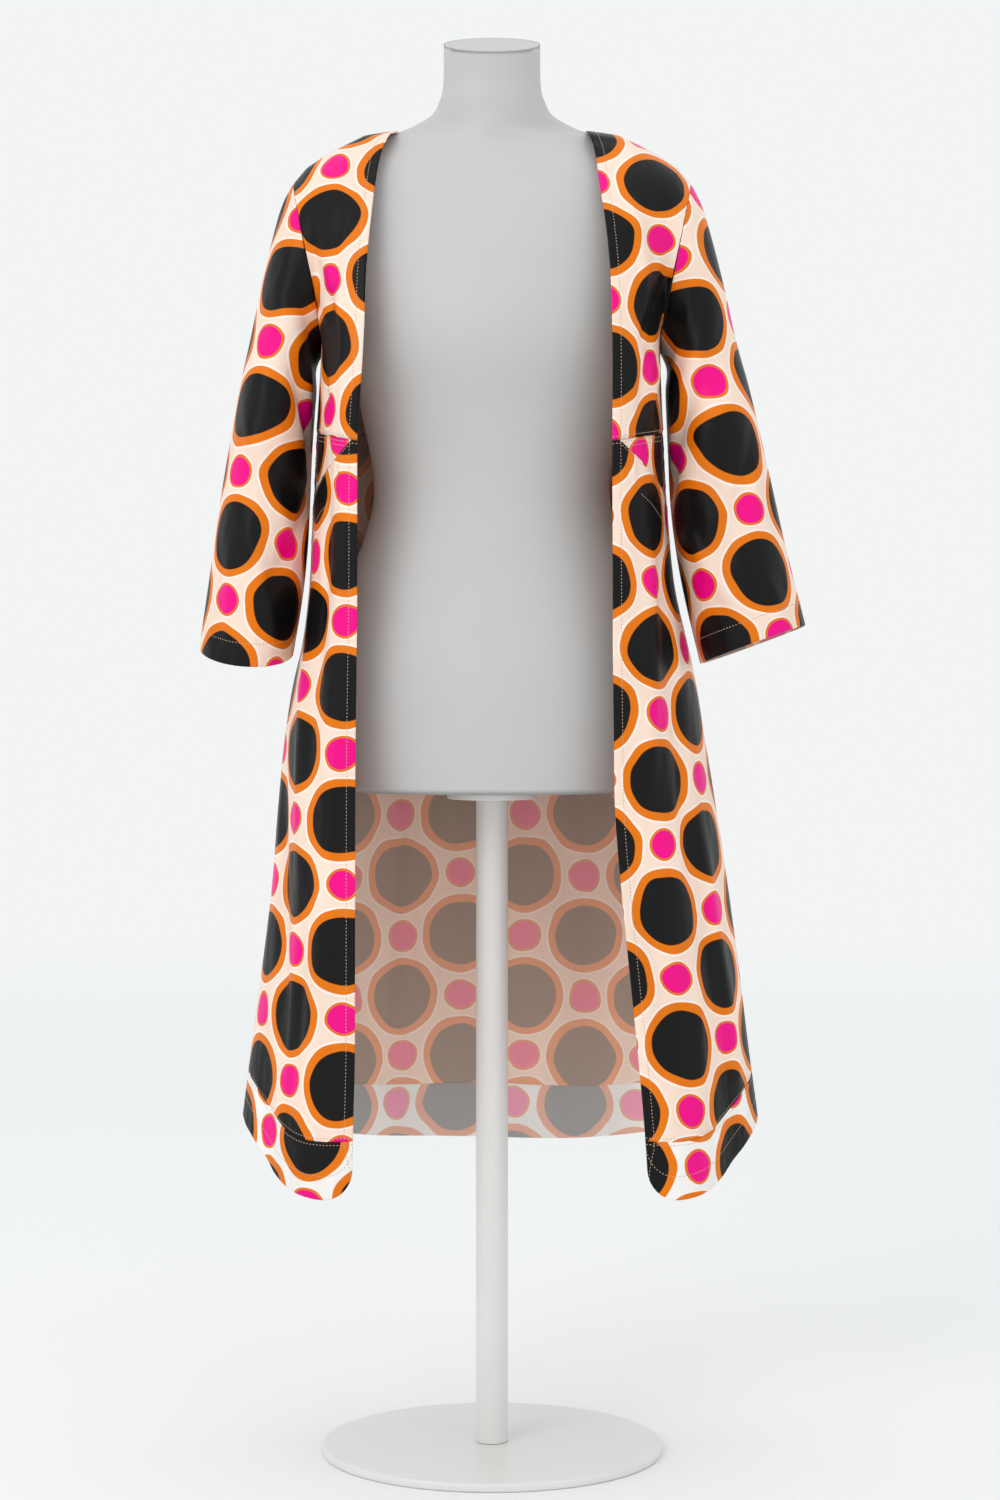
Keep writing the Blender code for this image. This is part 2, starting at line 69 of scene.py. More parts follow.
# Levels of the coat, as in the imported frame; here the sewn edges meet, so a seam has no gap
WAIST_FRONT = 1.004
WAIST_SIDE = 1.018
HEM_FRONT = 0.271
HEM_BACK = 0.285
HEM_SIDE_RISE = 0.068
HEM_SWEEP = 1.4
HEM_CORNER = 0.030
BAND_DEPTH = 0.058
BAND_SIDE_DEPTH = 0.044
POCKET_START = 0.08
POCKET_DROP = 0.082
POCKET_TUCK = 0.015
POCKET_INSET = 0.0020
SEAM_LINE = 0.006
SIDE_END = 1.0 - 0.0009

# Inside of the coat below the waist: half widths at the side seams, front edges, depths at the front
# edges and at the centre back
BODY = table("height side_right side_left edge_right edge_left front back", (
    (0.230, 0.2530, 0.2695, 0.1350, 0.1535, 0.134, 0.188),
    (0.335, 0.2440, 0.2610, 0.1335, 0.1475, 0.130, 0.180),
    (0.400, 0.2365, 0.2530, 0.1320, 0.1420, 0.127, 0.174),
    (0.480, 0.2265, 0.2440, 0.1318, 0.1340, 0.124, 0.167),
    (0.560, 0.2175, 0.2340, 0.1318, 0.1260, 0.121, 0.160),
    (0.650, 0.2110, 0.2210, 0.1318, 0.1190, 0.118, 0.150),
    (0.720, 0.2045, 0.2100, 0.1315, 0.1180, 0.116, 0.141),
    (0.765, 0.1975, 0.2030, 0.1310, 0.1175, 0.115, 0.135),
    (0.805, 0.1885, 0.1945, 0.1305, 0.1170, 0.115, 0.130),
    (0.860, 0.1815, 0.1820, 0.1300, 0.1170, 0.115, 0.124),
    (0.920, 0.1785, 0.1755, 0.1300, 0.1168, 0.116, 0.119),
    (0.970, 0.1765, 0.1725, 0.1300, 0.1165, 0.117, 0.115),
    (1.018, 0.1740, 0.1700, 0.1295, 0.1165, 0.118, 0.112),
    (1.060, 0.1695, 0.1670, 0.1280, 0.1165, 0.118, 0.112),
    (1.105, 0.1640, 0.1640, 0.1240, 0.1165, 0.116, 0.114),
))

# Front edges from the waist seam to the neck point
EDGE = table("height edge_right edge_left front", (
    (1.004, 0.1300, 0.1165, 0.118),
    (1.110, 0.1235, 0.1165, 0.116),
    (1.174, 0.1215, 0.1146, 0.106),
    (1.221, 0.1178, 0.1104, 0.090),
    (1.262, 0.1137, 0.1050, 0.067),
    (1.283, 0.1110, 0.1030, 0.051),
    (1.303, 0.1055, 0.0995, 0.035),
    (1.3145, 0.0990, 0.0955, 0.017),
    (1.319, 0.0935, 0.0935, -SEAM_LINE),
))

# Back neckline: the height that the back's surface would reach at the middle, and the share of that rise
# that is left below the neckline
NAPE_HEIGHT = 1.323
NECK_CUT = 0.80

# How the upper panels rise from the waist and lean over the shoulder, on the front, and how closely the
# armhole and the front edge keep their own line
BODICE_LIFT = np.array([0.0, 0.0, 0.32])
SHOULDER_LEAN = np.array([0.0, 0.32, 0.03])
EDGE_HUG = 3

# Shoulder seams, on the inside of the cloth
SHOULDER = table("out height", (
    (0.0935, 1.3190),
    (0.1250, 1.3145),
    (0.1470, 1.3040),
    (0.1700, 1.2910),
    (0.1840, 1.2815),
    (0.1980, 1.2650),
))

# Sleeves, on the inside of the cloth: a ring for each row, from the armhole to the cuff, through an outer
# and an inner point, with half its depth, its middle front to back and how far its front hangs lower
SLEEVE_COLUMNS = "outer_out outer_height inner_out inner_height depth middle dip"
SLEEVE_RIGHT = table(SLEEVE_COLUMNS, (
    (0.1980, 1.265, 0.1640, 1.105, 0.0680, SEAM_LINE, 0.000),
    (0.2090, 1.243, 0.1770, 1.082, 0.0675, 0.005, 0.000),
    (0.2185, 1.209, 0.1805, 1.058, 0.0670, 0.003, 0.000),
    (0.2295, 1.161, 0.1832, 1.030, 0.0660, 0.000, 0.000),
    (0.2410, 1.104, 0.1855, 0.990, 0.0650, -0.004, 0.000),
    (0.2545, 1.035, 0.1870, 0.945, 0.0630, -0.009, 0.002),
    (0.2670, 0.962, 0.1885, 0.900, 0.0620, -0.013, 0.004),
    (0.2775, 0.888, 0.1910, 0.850, 0.0610, -0.017, 0.008),
    (0.2895, 0.803, 0.1990, 0.795, 0.0600, -0.020, 0.014),
))
SLEEVE_LEFT = table(SLEEVE_COLUMNS, (
    (0.1980, 1.265, 0.1640, 1.105, 0.0680, SEAM_LINE, 0.000),
    (0.2090, 1.243, 0.1760, 1.082, 0.0675, 0.005, 0.000),
    (0.2190, 1.209, 0.1785, 1.058, 0.0670, 0.003, 0.000),
    (0.2310, 1.161, 0.1800, 1.030, 0.0660, 0.000, 0.000),
    (0.2445, 1.100, 0.1815, 0.990, 0.0650, -0.004, 0.000),
    (0.2600, 1.040, 0.1835, 0.945, 0.0640, -0.009, 0.000),
    (0.2760, 0.970, 0.1880, 0.900, 0.0630, -0.013, 0.000),
    (0.2915, 0.900, 0.1945, 0.850, 0.0620, -0.016, -0.002),
    (0.3105, 0.824, 0.2085, 0.787, 0.0620, -0.018, -0.004),
))
# How far the soft inner wall leans towards the coat's side, at each of a sleeve's rings
SLEEVE_LEAN = np.array((0.0, 0.0003, 0.0035, 0.0042, 0.0042, 0.0042, 0.0036, 0.0010, 0.0))
ARMHOLE_GAP = 0.0003
UNDERARM_GAP = 0.0030
UNDERARM_SHARE = 0.28
UNDERARM_SPLIT = 0.003
GAP_FADE = 2.0

# Large soft folds of the skirt: turn is 0 at the centre back, 1 at the side seams and 2 at the front
# edges, negative on the wearer's right; depth is reached at the hem, top is where the fold runs out
SKIRT_FOLDS = table("turn width depth top", (
    (-1.75, 0.10, 0.004, 0.95),
    (-1.42, 0.13, -0.006, 0.90),
    (-1.10, 0.12, 0.005, 0.80),
    (-0.72, 0.14, 0.010, 0.95),
    (-0.43, 0.13, -0.010, 0.90),
    (-0.16, 0.14, 0.009, 0.98),
    (0.18, 0.15, -0.009, 0.92),
    (0.49, 0.14, 0.011, 0.96),
    (0.80, 0.12, -0.006, 0.85),
    (1.14, 0.12, 0.005, 0.80),
    (1.46, 0.13, -0.006, 0.92),
    (1.76, 0.10, 0.004, 0.88),
))
FOLD_GROWTH = 1.2

# Large soft folds of the sleeves: ring along the sleeve, angle round it from the outside over the front
SLEEVE_FOLDS = table("ring angle along round depth", (
    (3.6, 80.0, 0.40, 45.0, -0.0030),
    (4.5, 60.0, 0.45, 50.0, 0.0028),
    (5.4, 95.0, 0.40, 40.0, -0.0026),
    (4.2, 290.0, 0.50, 45.0, -0.0030),
    (5.3, 275.0, 0.45, 45.0, 0.0028),
))


def crease_table(*rows):
    """Creases in a panel's flat sizes, in millimetres: middle across and down, length, angle from straight
    down in degrees, half width, and depth, which is negative for a trough."""
    return table("across down length angle width depth", np.array(rows) * (MM, MM, MM, 1.0, MM, MM))


BODICE_CREASES = {
    "right": crease_table(
        (30, 215, 160, -8, 8, -1.1), (55, 150, 130, 24, 8.5, -1.6),
        (66, 105, 100, 33, 7.5, 1.3), (24, 90, 120, 6, 8, 1),
        (52, 45, 70, 20, 7, -1.2),
    ),
    "left": crease_table(
        (34, 190, 150, -10, 8.5, 1.2), (58, 140, 120, 28, 8, -1.5),
        (48, 85, 100, 18, 7.5, -1.2), (22, 60, 90, 4, 7, 1),
        (66, 50, 80, 36, 7.5, 1.2),
    ),
}
SKIRT_CREASES = {
    "right": crease_table(
        (10, 34, 30, 2, 2.6, 1), (18, 36, 34, -3, 2.6, 1.1),
        (27, 40, 36, 5, 2.8, 0.9), (46, 190, 260, 3, 11, -1.8),
        (72, 300, 340, -3, 12, 1.9), (28, 420, 360, 2, 10, 1.4),
        (104, 470, 300, -6, 13, -2.2), (62, 570, 180, 5, 9, -1.3),
    ),
    "left": crease_table(
        (12, 34, 28, -3, 2.6, 0.9), (22, 37, 32, 3, 2.6, 1),
        (40, 240, 300, -3, 11, 1.8), (76, 330, 360, 4, 13, -2),
        (30, 480, 280, -2, 10, -1.4), (112, 500, 300, 6, 13, 2),
        (66, 600, 160, -5, 9, 1.2),
    ),
}
BACK_BODICE_CREASES = crease_table(
    (-105, 140, 160, -20, 12, -2), (112, 130, 150, 22, 12, -2),
    (-130, 52, 120, -35, 10, 1.8), (136, 46, 120, 33, 10, 1.8),
    (4, 70, 120, -3, 16, -1.8),
)
BACK_SKIRT_CREASES = {
    "right": crease_table(
        (52, 190, 300, 3, 13, 2.2), (20, 450, 300, -2, 12, 1.8),
        (112, 500, 260, 4, 12, -2), (162, 300, 350, 6, 14, -2.2),
        (92, 110, 160, -7, 10, -1.4),
    ),
    "left": crease_table(
        (64, 240, 320, 4, 13, -2.2), (30, 130, 180, -5, 10, 1.4),
        (100, 480, 280, 3, 12, 2), (170, 320, 330, 5, 14, 2),
        (140, 560, 200, -4, 11, -1.6),
    ),
}
SLEEVE_CREASES = {
    "right": crease_table(
        (318, 60, 110, 22, 8.5, -1.8), (262, 95, 130, 34, 9, 1.6),
        (292, 165, 150, 38, 9.5, -2.2), (250, 215, 120, 30, 9, 1.8),
        (300, 270, 140, -28, 10, -2), (262, 330, 120, 20, 8.5, 1.4),
        (215, 360, 120, 8, 9, -1.2), (95, 140, 140, -35, 11, -2.2),
        (112, 220, 130, 30, 11, 2), (80, 300, 120, -25, 10, -1.8),
        (120, 380, 100, 20, 10, 1.4),
    ),
    "left": crease_table(
        (322, 70, 120, 25, 9, -2), (275, 130, 140, 36, 9.5, 1.8),
        (310, 190, 130, 42, 9, -2), (256, 250, 140, 26, 10, -1.8),
        (300, 310, 120, -24, 9, 1.8), (240, 370, 130, -10, 9.5, 1.3),
        (100, 150, 150, -33, 11, -2.2), (84, 240, 130, 32, 10, 2),
        (118, 320, 120, -22, 10, -1.8),
    ),
}

# Width beside an edge over which the creases die out
SEAM_CALM = 0.020

# Puckers along sewn edges: how far they reach from the edge, their height, and their waves along it
PUCKER_REACH = 0.009
PUCKER_HEIGHT = 0.00022
PUCKER_WAVES = table("length height phase", (
    (0.013, 1.0, 0.0),
    (0.021, 0.8, 1.1),
    (0.034, 0.6, 2.3),
))

# Where each panel is cut from the print, across and down
CUT_FROM = {
    "front_bodice_right": (0.020, 0.031),
    "front_bodice_left": (0.071, 0.008),
    "front_skirt_right": (0.052, 0.060),
    "front_skirt_left": (0.016, 0.022),
    "pocket_side_right": (0.044, 0.012),
    "pocket_side_left": (0.100, 0.090),
    "front_hem_band_right": (0.084, 0.047),
    "front_hem_band_left": (0.011, 0.075),
    "back_bodice": (0.000, 0.018),
    "back_skirt_right": (0.030, 0.070),
    "back_skirt_left": (0.094, 0.070),
    "back_hem_band": (0.040, 0.055),
    "sleeve_right": (0.033, 0.027),
    "sleeve_left": (0.009, 0.066),
}

# Dress form below the shoulder line, and its neck above: half width, depths, middle front to back, and
# thinness towards the sides (1 is an ellipse, more is a bell)
FORM_COLUMNS = "height half_width front back middle thin"
FORM_BODY = table(FORM_COLUMNS, (
    (0.660, 0.152, 0.098, 0.100, 0.000, 0.90),
    (0.700, 0.158, 0.102, 0.106, 0.000, 0.90),
    (0.780, 0.162, 0.104, 0.112, 0.000, 0.90),
    (0.860, 0.146, 0.096, 0.096, 0.000, 0.90),
    (0.950, 0.119, 0.084, 0.076, 0.000, 0.90),
    (1.030, 0.130, 0.093, 0.080, 0.000, 0.90),
    (1.090, 0.146, 0.112, 0.086, 0.000, 0.90),
    (1.130, 0.156, 0.116, 0.089, 0.001, 0.95),
    (1.180, 0.174, 0.105, 0.089, 0.002, 1.00),
    (1.225, 0.186, 0.089, 0.083, 0.004, 1.05),
    (1.250, 0.1905, 0.077, 0.075, 0.005, 1.15),
))
FORM_SHOULDER = table("front back thin", (
    (0.050, 0.043, 3.5),
    (0.050, 0.042, 4.2),
    (0.051, 0.044, 2.9),
    (0.056, 0.052, 1.9),
    (0.061, 0.060, 1.6),
    (0.069, 0.068, 1.3),
))
FORM_NECK = table(FORM_COLUMNS, (
    (1.3340, 0.0630, 0.0490, 0.0450, 0.005, 1.50),
    (1.3490, 0.0535, 0.0480, 0.0460, 0.003, 1.05),
    (1.3660, 0.0495, 0.0465, 0.0455, 0.001, 1.00),
    (1.4060, 0.0490, 0.0470, 0.0470, -0.003, 1.00),
))
NECK_CAP_SLOPE = 0.30
FORM_INSET = 0.0008
FORM_EDGE = 0.0022
REST_GAP = 0.0004

# Fineness of the panels' grids: the number of even steps, and about how long the grid is that way
BODICE_ACROSS = (34, 0.10)
BODICE_ROWS = 96
SKIRT_ACROSS = (46, 0.17)
SKIRT_DOWN = (190, 0.62)
POCKET_ACROSS = (40, 0.15)
POCKET_DOWN = (26, 0.06)
BAND_ACROSS = (70, 0.17)
BAND_DOWN = (20, 0.055)
BACK_BAND_ACROSS = (60, 0.30)
BACK_BODICE_ACROSS = (60, 0.28)
BACK_BODICE_ROWS = 80
BACK_SKIRT_ACROSS = (54, 0.26)
BACK_SKIRT_DOWN = (150, 0.66)
SLEEVE_ROUND = 97
SLEEVE_DOWN = (120, 0.46)
EDGE_POINTS = 400

# Stitching: the line that holds the pocket bag and the stretch of the mouth that it follows, the lines along
# the hip piece, the line over the back's waist seam, and the share of a stitch that is full
BAG_INSET = 0.034
BAG_SPAN = (0.35, 1.0)
HIP_SPAN = (0.1, 1.0)
HIP_SECOND = 2.2
BACK_WAIST_INSET = 0.007
STITCH_FULL = 0.55

# Share of the wall that is left at a rounded edge
EDGE_WALL = 0.25

# Fineness of the form and its stand
FORM_SIDES = 128
FORM_ROWS_BETWEEN = 6
CAP_ROWS = np.array([0.96, 0.7, 0.35, 0.0])
STAND_SIDES = 96
ROUND_STEPS = 6
EDGE_STEPS = np.array([0.0, 0.0005, 0.0012, 0.0022])
WELD = 1e-6

SIDES = {"right": -1.0, "left": 1.0}
UP = np.array([0.0, 0.0, 1.0])


def linear(hex_colour):
    """Linear RGBA colour of an sRGB hex value."""
    srgb = np.array([int(hex_colour[i:i + 2], 16) for i in (0, 2, 4)]) / 255
    rgb = np.where(srgb <= 0.04045, srgb / 12.92, ((srgb + 0.055) / 1.055) ** 2.4)
    return (*rgb.tolist(), 1.0)


def size_of(name, description, metres):
    """Setting that holds a length."""
    return FloatProperty(name=name, description=description, default=metres, unit="LENGTH")


def colour_of(name, description, hex_colour):
    """Setting that holds a colour."""
    shown = linear(hex_colour)
    return FloatVectorProperty(name=name, description=description, size=4, subtype="COLOR", default=shown)


class DusterCloth(PropertyGroup):
    """Sizes of the cloth and of its sewing."""

    wall: size_of("Wall", "Thickness of the cloth", 0.0013)
    rounding: size_of("Edge rounding", "How far from an edge the cloth thins", 0.0022)
    crease: FloatProperty(name="Crease depth", description="Factor on the depth of the creases", default=2.4)
    pitch: size_of("Stitch pitch", "From one stitch to the next", 0.0034)
    stitch: size_of("Stitch", "Length of a stitch", 0.0025)
    thread: size_of("Thread", "Width of the sewing thread", 0.0007)
    edge_inset: size_of("Edge stitching", "Stitching's distance from the front edges", 0.009)
    hem_inset: size_of("Hem stitching", "Stitching's distance from hem and cuffs", 0.023)
    seam_inset: size_of("Seam stitching", "Stitching's distance from a seam", 0.0035)


class DusterPrint(PropertyGroup):
    """Sizes and colours of the printed dots."""

    repeat: size_of("Repeat", "Width and height of the print's repeat", 0.128)
    disc: size_of("Disc", "Outer radius of a large ringed disc", 0.0405)
    disc_ring: size_of("Disc ring", "Width of a large disc's ring", 0.0078)
    dot: size_of("Dot", "Outer radius of a small dot", 0.0170)
    dot_ring: size_of("Dot ring", "Width of a small dot's ring", 0.0025)
    ink: colour_of("Disc colour", "Colour of the large discs", "0f0f10")
    rim: colour_of("Ring colour", "Colour of the rings", "e87806")
    spot: colour_of("Dot colour", "Colour of the small dots", "f4008a")
    ground: colour_of("Ground", "Colour between the dots", "fae0cf")
    band_ground: colour_of("Band ground", "Colour between the dots on the hem bands", "f7f4f2")


class DusterForm(PropertyGroup):
    """Sizes and colours of the dress form and its stand."""

    skin: colour_of("Form", "Colour of the dress form", "c2c2c2")
    paint: colour_of("Stand", "Colour of the stand's paint", "e4e4e3")
    base_radius: size_of("Base radius", "Radius of the base plate", 0.170)
    base_round: size_of("Base rounding", "Rounding of the base plate's edge", 0.003)
    pole_radius: size_of("Pole radius", "Radius of the pole", 0.016)
    flange_radius: size_of("Flange radius", "Radius of the plate under the form", 0.045)
    small_round: size_of("Small rounding", "Rounding of the pole's and flange's edges", 0.0012)


class DusterStage(PropertyGroup):
    """Camera, light and floor."""

    distance: size_of("Distance", "Camera's distance from the pole", 3.5)
    height: size_of("Height", "Camera's height over the floor", 0.85)
    aside: size_of("Aside", "Camera's distance to the side", 0.008)
    lens: FloatProperty(name="Lens", description="Focal length", default=84.0, unit="CAMERA")
    shift: FloatProperty(name="Shift", description="Vertical shift of the picture", default=-0.1)
    floor: colour_of("Floor", "Colour of the floor", "f2f4f4")


def smooth(xs, ys, x):
    """Smooth curve through the points xs, ys, read at x: a cubic between each two, with mean slopes."""
    slopes = np.gradient(ys, xs)
    i = np.clip(np.searchsorted(xs, x) - 1, 0, len(xs) - 2)
    span = xs[i + 1] - xs[i]
    u = (x - xs[i]) / span
    from_start = (1 + 2 * u) * (1 - u) ** 2 * ys[i] + u * (1 - u) ** 2 * span * slopes[i]
    from_end = u ** 2 * (3 - 2 * u) * ys[i + 1] + u ** 2 * (u - 1) * span * slopes[i + 1]
    return from_start + from_end


def read(columns, name, height):
    """A table's column, read at a height."""
    return smooth(columns["height"], columns[name], height)


def read_line(points, length, wanted):
    """A line's points, or its normals, read at the wanted lengths, straight between the given ones."""
    return np.stack([np.interp(wanted, length, points[:, k]) for k in range(3)], axis=-1)


def along(points, shares):
    """Points on a polyline at the given shares of its length."""
    length = lengths(points[None], 1)[0]
    return read_line(points, length, shares * length[-1])


def spread(count, length):
    """Shares from 0 to 1: even steps, with closer ones near both ends, so that edges can be rounded."""
    near = EDGE_STEPS / length
    inner = np.linspace(2 * near[-1], 1 - 2 * near[-1], count)
    return np.concatenate([near, inner, 1 - near[::-1]])


def half_stations(count, length):
    """Shares from 0, at the centre back, to 1, with closer ones near the end only."""
    shares = spread(count, length)[len(EDGE_STEPS) - 1:]
    shares[0] = 0.0
    return shares


def fold_height(turn, height):
    """How far the skirt's folds stand out: bells across, growing as a power of the way down."""
    out = np.zeros(np.broadcast(turn, height).shape)
    for where, width, depth, top in zip(*SKIRT_FOLDS.values()):
        grown = np.clip((top - height) / (top - HEM_FRONT), 0.0, 1.0) ** FOLD_GROWTH
        out += depth * grown * np.exp(-((turn - where) / width) ** 2)
    return out


def body_point(side, front, s, height, inset=0.0):
    """Inside of the coat's body: a quarter ellipse from the front edge, or the centre back, at s = 0 to the
    side seam at s = 1, pushed out along its own normal by the folds."""
    name = "right" if side < 0 else "left"
    half_width = read(BODY, "side_" + name, height)
    start = read(BODY, "edge_" + name, height) if front else np.zeros_like(height)
    depth = read(BODY, "front" if front else "back", height) + (SEAM_LINE if front else -SEAM_LINE)
    turn = np.pi / 2 * s
    facing = -1.0 if front else 1.0
    across = half_width - start
    normal_x = depth * np.sin(turn)
    normal_y = across * np.cos(turn)
    size = np.hypot(normal_x, normal_y)
    stands = fold_height(side * (2.0 - s if front else s), height) - inset
    x = start + across * np.sin(turn) + stands * normal_x / size
    y = SEAM_LINE + facing * (depth * np.cos(turn) + stands * normal_y / size)
    return np.stack(np.broadcast_arrays(side * x, y, height), axis=-1)


def waist(s):
    """Height of the waist seam, rising from the front edge to the side."""
    return WAIST_FRONT + (WAIST_SIDE - WAIST_FRONT) * s


def pocket_mouth(s):
    """Height of the front skirt's upper edge: the waist seam, then the slanted pocket mouth."""
    return waist(s) - POCKET_DROP * np.clip((s - POCKET_START) / (1.0 - POCKET_START), 0.0, 1.0)


def hem_level(front, s):
    """Height of the hem before its corner is rounded: a shirt-tail curve, a squared sine across it."""
    low = HEM_FRONT if front else HEM_BACK
    return low + (HEM_FRONT + HEM_SIDE_RISE - low) * np.sin(np.pi / 2 * s ** HEM_SWEEP) ** 2


def hem(side, front, s):
    """Height of the hem, with a quarter circle at the corner of the front edge."""
    if not front:
        return hem_level(front, s)
    name = "right" if side < 0 else "left"
    across = read(BODY, "side_" + name, HEM_FRONT) - read(BODY, "edge_" + name, HEM_FRONT)
    from_edge = np.clip(across * np.sin(np.pi / 2 * s), 0.0, HEM_CORNER)
    corner = HEM_CORNER - np.sqrt(HEM_CORNER ** 2 - (HEM_CORNER - from_edge) ** 2)
    return hem_level(front, s) + corner


def band_seam(front, s):
    """Height of the seam between a panel and its hem band, nearer to the hem at the side."""
    return hem_level(front, s) + BAND_DEPTH + (BAND_SIDE_DEPTH - BAND_DEPTH) * s


def strip(side, front, stations, shares, upper, lower, inset=0.0):
    """Grid on the body between two height curves, rows from the upper one to the lower one."""
    s = stations[None, :]
    v = shares[:, None]
    height = upper[None, :] * (1 - v) + lower[None, :] * v
    return body_point(side, front, np.broadcast_to(s, height.shape), height, inset)


def sleeve_ring(columns, rings, angles):
    """Inside of a sleeve: ellipses through an outer and an inner point, angle 0 outside, 90 in front."""
    index = np.arange(len(columns["depth"]), dtype=float)
    at = {name: smooth(index, values, rings)[:, None] for name, values in columns.items()}
    c = np.cos(angles)[None, :]
    s = np.sin(angles)[None, :]
    fold = np.zeros((len(rings), len(angles)))
    for ring, angle, reach, turn, depth in zip(*SLEEVE_FOLDS.values()):
        off = np.angle(np.exp(1j * (angles - np.radians(angle))))[None, :] / np.radians(turn)
        fold += depth * np.exp(-((rings[:, None] - ring) / reach) ** 2 - off ** 2)
    wide = (at["outer_out"] - at["inner_out"]) / 2
    tall = (at["outer_height"] - at["inner_height"]) / 2
    grown = 1 + fold / np.hypot(wide, tall)
    x = (at["outer_out"] + at["inner_out"]) / 2 + wide * c * grown
    y = at["middle"] - (at["depth"] + fold) * s
    z = (at["outer_height"] + at["inner_height"]) / 2 + tall * c * grown - at["dip"] * s
    return np.stack([x, y, z], axis=-1)


def armhole(side, front, shares):
    """Armhole from the underarm at share 0 to the shoulder tip at share 1, on the body's front or back."""
    shares = np.maximum(shares, UNDERARM_SPLIT)
    angles = np.pi * (1 - shares) if front else np.pi * (1 + shares)
    ring = sleeve_ring(SLEEVE_LEFT, np.zeros(1), angles)[0]
    return ring * np.array([side, 1.0, 1.0])


def side_and_armhole(side, front, shares):
    """Outer edge of a bodice: up the side seam, then round the armhole to the shoulder tip."""
    up = np.clip(shares / UNDERARM_SHARE, 0.0, 1.0)
    round_share = np.clip((shares - UNDERARM_SHARE) / (1 - UNDERARM_SHARE), 0.0, 1.0)
    underarm = SLEEVE_LEFT["inner_height"][0]
    seam = body_point(side, front, np.full_like(up, SIDE_END), WAIST_SIDE + (underarm - WAIST_SIDE) * up)
    return np.where((shares < UNDERARM_SHARE)[:, None], seam, armhole(side, front, round_share))


def rise(bottom, top, facing, shares):
    """Curves up the cloth from the bottom points to the top points, cubics that leave upwards and lean over
    the shoulder; facing is 1 on the front and -1 on the back."""
    u = shares[..., None]
    lean = SHOULDER_LEAN * np.array([1.0, facing, 1.0])
    leave = (1 + 2 * u) * (1 - u) ** 2 * bottom[None] + u * (1 - u) ** 2 * BODICE_LIFT
    arrive = u ** 2 * (3 - 2 * u) * top[None] + u ** 2 * (u - 1) * lean
    return leave + arrive


def drawn_to(points, stations, start, end):
    """Surface drawn to its start and end edges, each edge's own shape fading out as a power across it."""
    s = stations[None, :, None]
    to_end = s ** EDGE_HUG * (end - points[:, -1])[:, None]
    if start is None:
        return points + to_end
    return points + to_end + (1 - s) ** EDGE_HUG * (start - points[:, 0])[:, None]


def shoulder_seam(side, shares):
    """Shoulder seam from the neck point to the tip."""
    rows = np.arange(len(SHOULDER["out"]), dtype=float)
    x = np.interp(shares * rows[-1], rows, SHOULDER["out"])
    z = np.interp(shares * rows[-1], rows, SHOULDER["height"])
    return np.stack([side * x, np.full_like(x, SEAM_LINE), z], axis=-1)


def bodice_rows(count):
    """Shares up a bodice, a share of them along the side seam and the rest along the armhole."""
    below = int(count * UNDERARM_SHARE)
    side_seam = np.linspace(0.0, UNDERARM_SHARE, below)
    return np.concatenate([side_seam, np.linspace(UNDERARM_SHARE, 1.0, count - below + 1)[1:]])


def bodice_front(side, stations, rows):
    """Upper front: waist seam below, shoulder seam above, front edge and armhole at its sides."""
    bottom = body_point(side, True, stations * SIDE_END, waist(stations))
    name = "right" if side < 0 else "left"
    height = np.linspace(EDGE["height"][0], EDGE["height"][-1], EDGE_POINTS)
    out = read(EDGE, "edge_" + name, height)
    edge = along(np.stack([side * out, -read(EDGE, "front", height), height], axis=-1), rows)
    edge[0] = bottom[0]
    top = shoulder_seam(side, stations)
    edge[-1] = top[0]
    outer = side_and_armhole(side, True, rows)
    outer[0] = bottom[-1]
    outer[-1] = top[-1]
    points = rise(bottom, top, 1.0, np.repeat(rows[:, None], len(stations), axis=1))
    return drawn_to(points, stations, edge, outer)


def back_bodice_half(side, stations, rows):
    """One side of the upper back, from the waist seam over the shoulder, cut off along the neckline, which
    is a quarter ellipse across the inner half of the stations."""
    s = stations
    bottom = body_point(side, False, s * SIDE_END, np.full_like(s, WAIST_SIDE))
    shoulder = shoulder_seam(side, np.clip(2 * s - 1, 0.0, 1.0))
    nape = np.array([0.0, shoulder[0, 1], NAPE_HEIGHT])
    near = np.clip(2 * s, 0.0, 1.0)[:, None]
    top = np.where((s <= 0.5)[:, None], nape * (1 - near) + shoulder[0] * near, shoulder)
    cut = 1.0 - (1.0 - NECK_CUT) * np.sqrt(np.clip(1.0 - (2 * s) ** 2, 0.0, 1.0))
    points = rise(bottom, top, -1.0, rows[:, None] * cut[None, :])
    outer = side_and_armhole(side, False, rows)
    outer[0] = bottom[-1]
    outer[-1] = top[-1]
    return drawn_to(points, s, None, outer)


def both_halves(right, left):
    """A piece across the centre back, from its right half and its left half."""
    return np.concatenate([right[:, ::-1], left[:, 1:]], axis=1)


def sleeve(side, rings, angles):
    """Sleeve as a closed tube, standing off the armhole, further at the underarm where both walls face; below
    it the inner wall leans in to the coat, by a squared half cosine round the ring."""
    points = sleeve_ring(SLEEVE_RIGHT if side < 0 else SLEEVE_LEFT, rings, angles)
    below = ((1 - np.cos(angles)) / 2) ** 2
    gap = ARMHOLE_GAP + (UNDERARM_GAP - ARMHOLE_GAP) * below
    lean = smooth(np.arange(len(SLEEVE_LEAN), dtype=float), SLEEVE_LEAN, rings)
    points[..., 0] += gap[None, :] * np.exp(-GAP_FADE * rings)[:, None] - lean[:, None] * below[None, :]
    return points * np.array([side, 1.0, 1.0])


